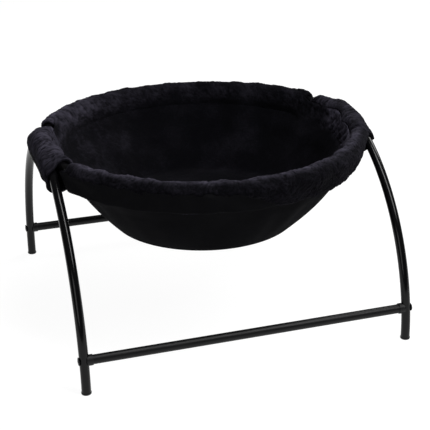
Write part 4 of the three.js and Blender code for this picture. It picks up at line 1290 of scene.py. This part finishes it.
slopes = np.gradient(paths, axis=1)
slopes /= np.linalg.norm(slopes, axis=-1, keepdims=True)
normals = np.stack([slopes[..., 1], -slopes[..., 0]], -1)
normals[:, -1] = (0, 1)
runs = np.linalg.norm(np.diff(paths, axis=1), axis=-1).cumsum(1)
runs = np.concatenate([np.zeros((LINER_SIDES + 1, 1)), runs], 1)
turns = liner_turns[:, None]
circle = np.stack([np.cos(turns), np.sin(turns)], -1)
spots = np.concatenate([paths[..., :1] * circle, paths[..., 1:]], -1)
heights = curls(spots, 83)
rim_pile = 1 - smooth_step(runs, 0.3 * RIM_PILE_LENGTH, RIM_PILE_LENGTH)
tall = upright(turns, paths[..., 1] * LINER_SQUEEZE)
folds = waves(tall, FOLD_WAVE, 91) + 0.5 * waves(tall, SMALL_FOLD_WAVE, 93)
right_rim = smooth_step(np.cos(turns), *RIGHT_RIM) * (1 - smooth_step(np.sin(turns), *RIGHT_RIM_REAR))
creased = right_rim * smooth_step(runs, *CREASE_START) * (1 - smooth_step(runs, *CREASE_END))
slanted = (rim_radius * np.sin(turns) + CREASE_SLANT * runs) / CREASE_SPACING
slanted = slanted + 0.5 * waves(tall, CREASE_WAVER, 95)
creases = np.sin(2 * math.pi * slanted)
hanging = np.sin(math.pi * np.clip(runs / HANG_LENGTH, 0, 1)) ** 0.7
centre_fade = smooth_step(paths[..., 0], 0, CENTRE_FADE)
pile = LINER_PILE * heights * mix(PRESSED_PILE, 1, rim_pile) * smooth_step(runs, 0, PILE_START)
thick = mix(LINER_LIP, LINER_THICKNESS, smooth_step(runs, 0, LIP_TAPER))
drape = LINER_FOLD * folds * hanging + CREASE_DEPTH * creases * creased
face = paths + normals * (thick + (pile + drape) * centre_fade)[..., None]
face[..., 0] = np.maximum(face[..., 0], 0)
face[:, -1, 0] = 0
back = np.arange(0, LINER_ROWS + 1, LINER_BACK_STEP)
section = np.concatenate([paths[:, back], face[:, ::-1], paths[:, :1]], 1)
along = np.concatenate([runs[:, back], runs[:, ::-1], runs[:, :1]], 1)
# The liner's pile attribute is its painted light and shade over the curl heights.
painted_light = mix(*WALL_PAINTED_LIGHT_AND_SHADE, smooth_step(-np.cos(turns), 0.1, 0.9))
shade = heights * painted_light * mix(PRESSED_AND_PAINTED_SHADE, RIM_SHADE, rim_pile)
# painted light at the right of the rim
painted_rim_light = right_rim * (1 - smooth_step(runs, *PAINTED_RIM_LIGHT_RUNS)) * (1 + 0.4 * creases * creased)
shade = mix(shade, heights * RIM_SHADE * RIGHT_RIM_PAINTED_LIGHT, np.clip(painted_rim_light, 0, 1.5))
# painted shadow in the gap behind the left pocket
painted_gap_shadow = np.exp(-(((turns - GAP_SHADOW_TURN) / GAP_SHADOW_WIDTH) ** 2) - (runs / GAP_SHADOW_DROP) ** 2)
shade = shade * (1 - 0.85 * painted_gap_shadow)
shade = np.concatenate([0 * heights[:, back], shade[:, ::-1], 0 * shade[:, :1]], 1)
points = hung(section, turns)
for column in (len(back) - 1, len(back)):
    points[:, column] = points[:, column].mean(0)
points[-1] = points[0]
work = sewn_mesh("liner", points, turns * CLOTH_RADIUS + 0 * along, along, [("pile", shade)])
liner = add_piece(work, "bowl_liner", curly_plush, ["plush_liner"])


# Sizes
# The box of the frame, from its CAD nodes.
low, high = cad_box
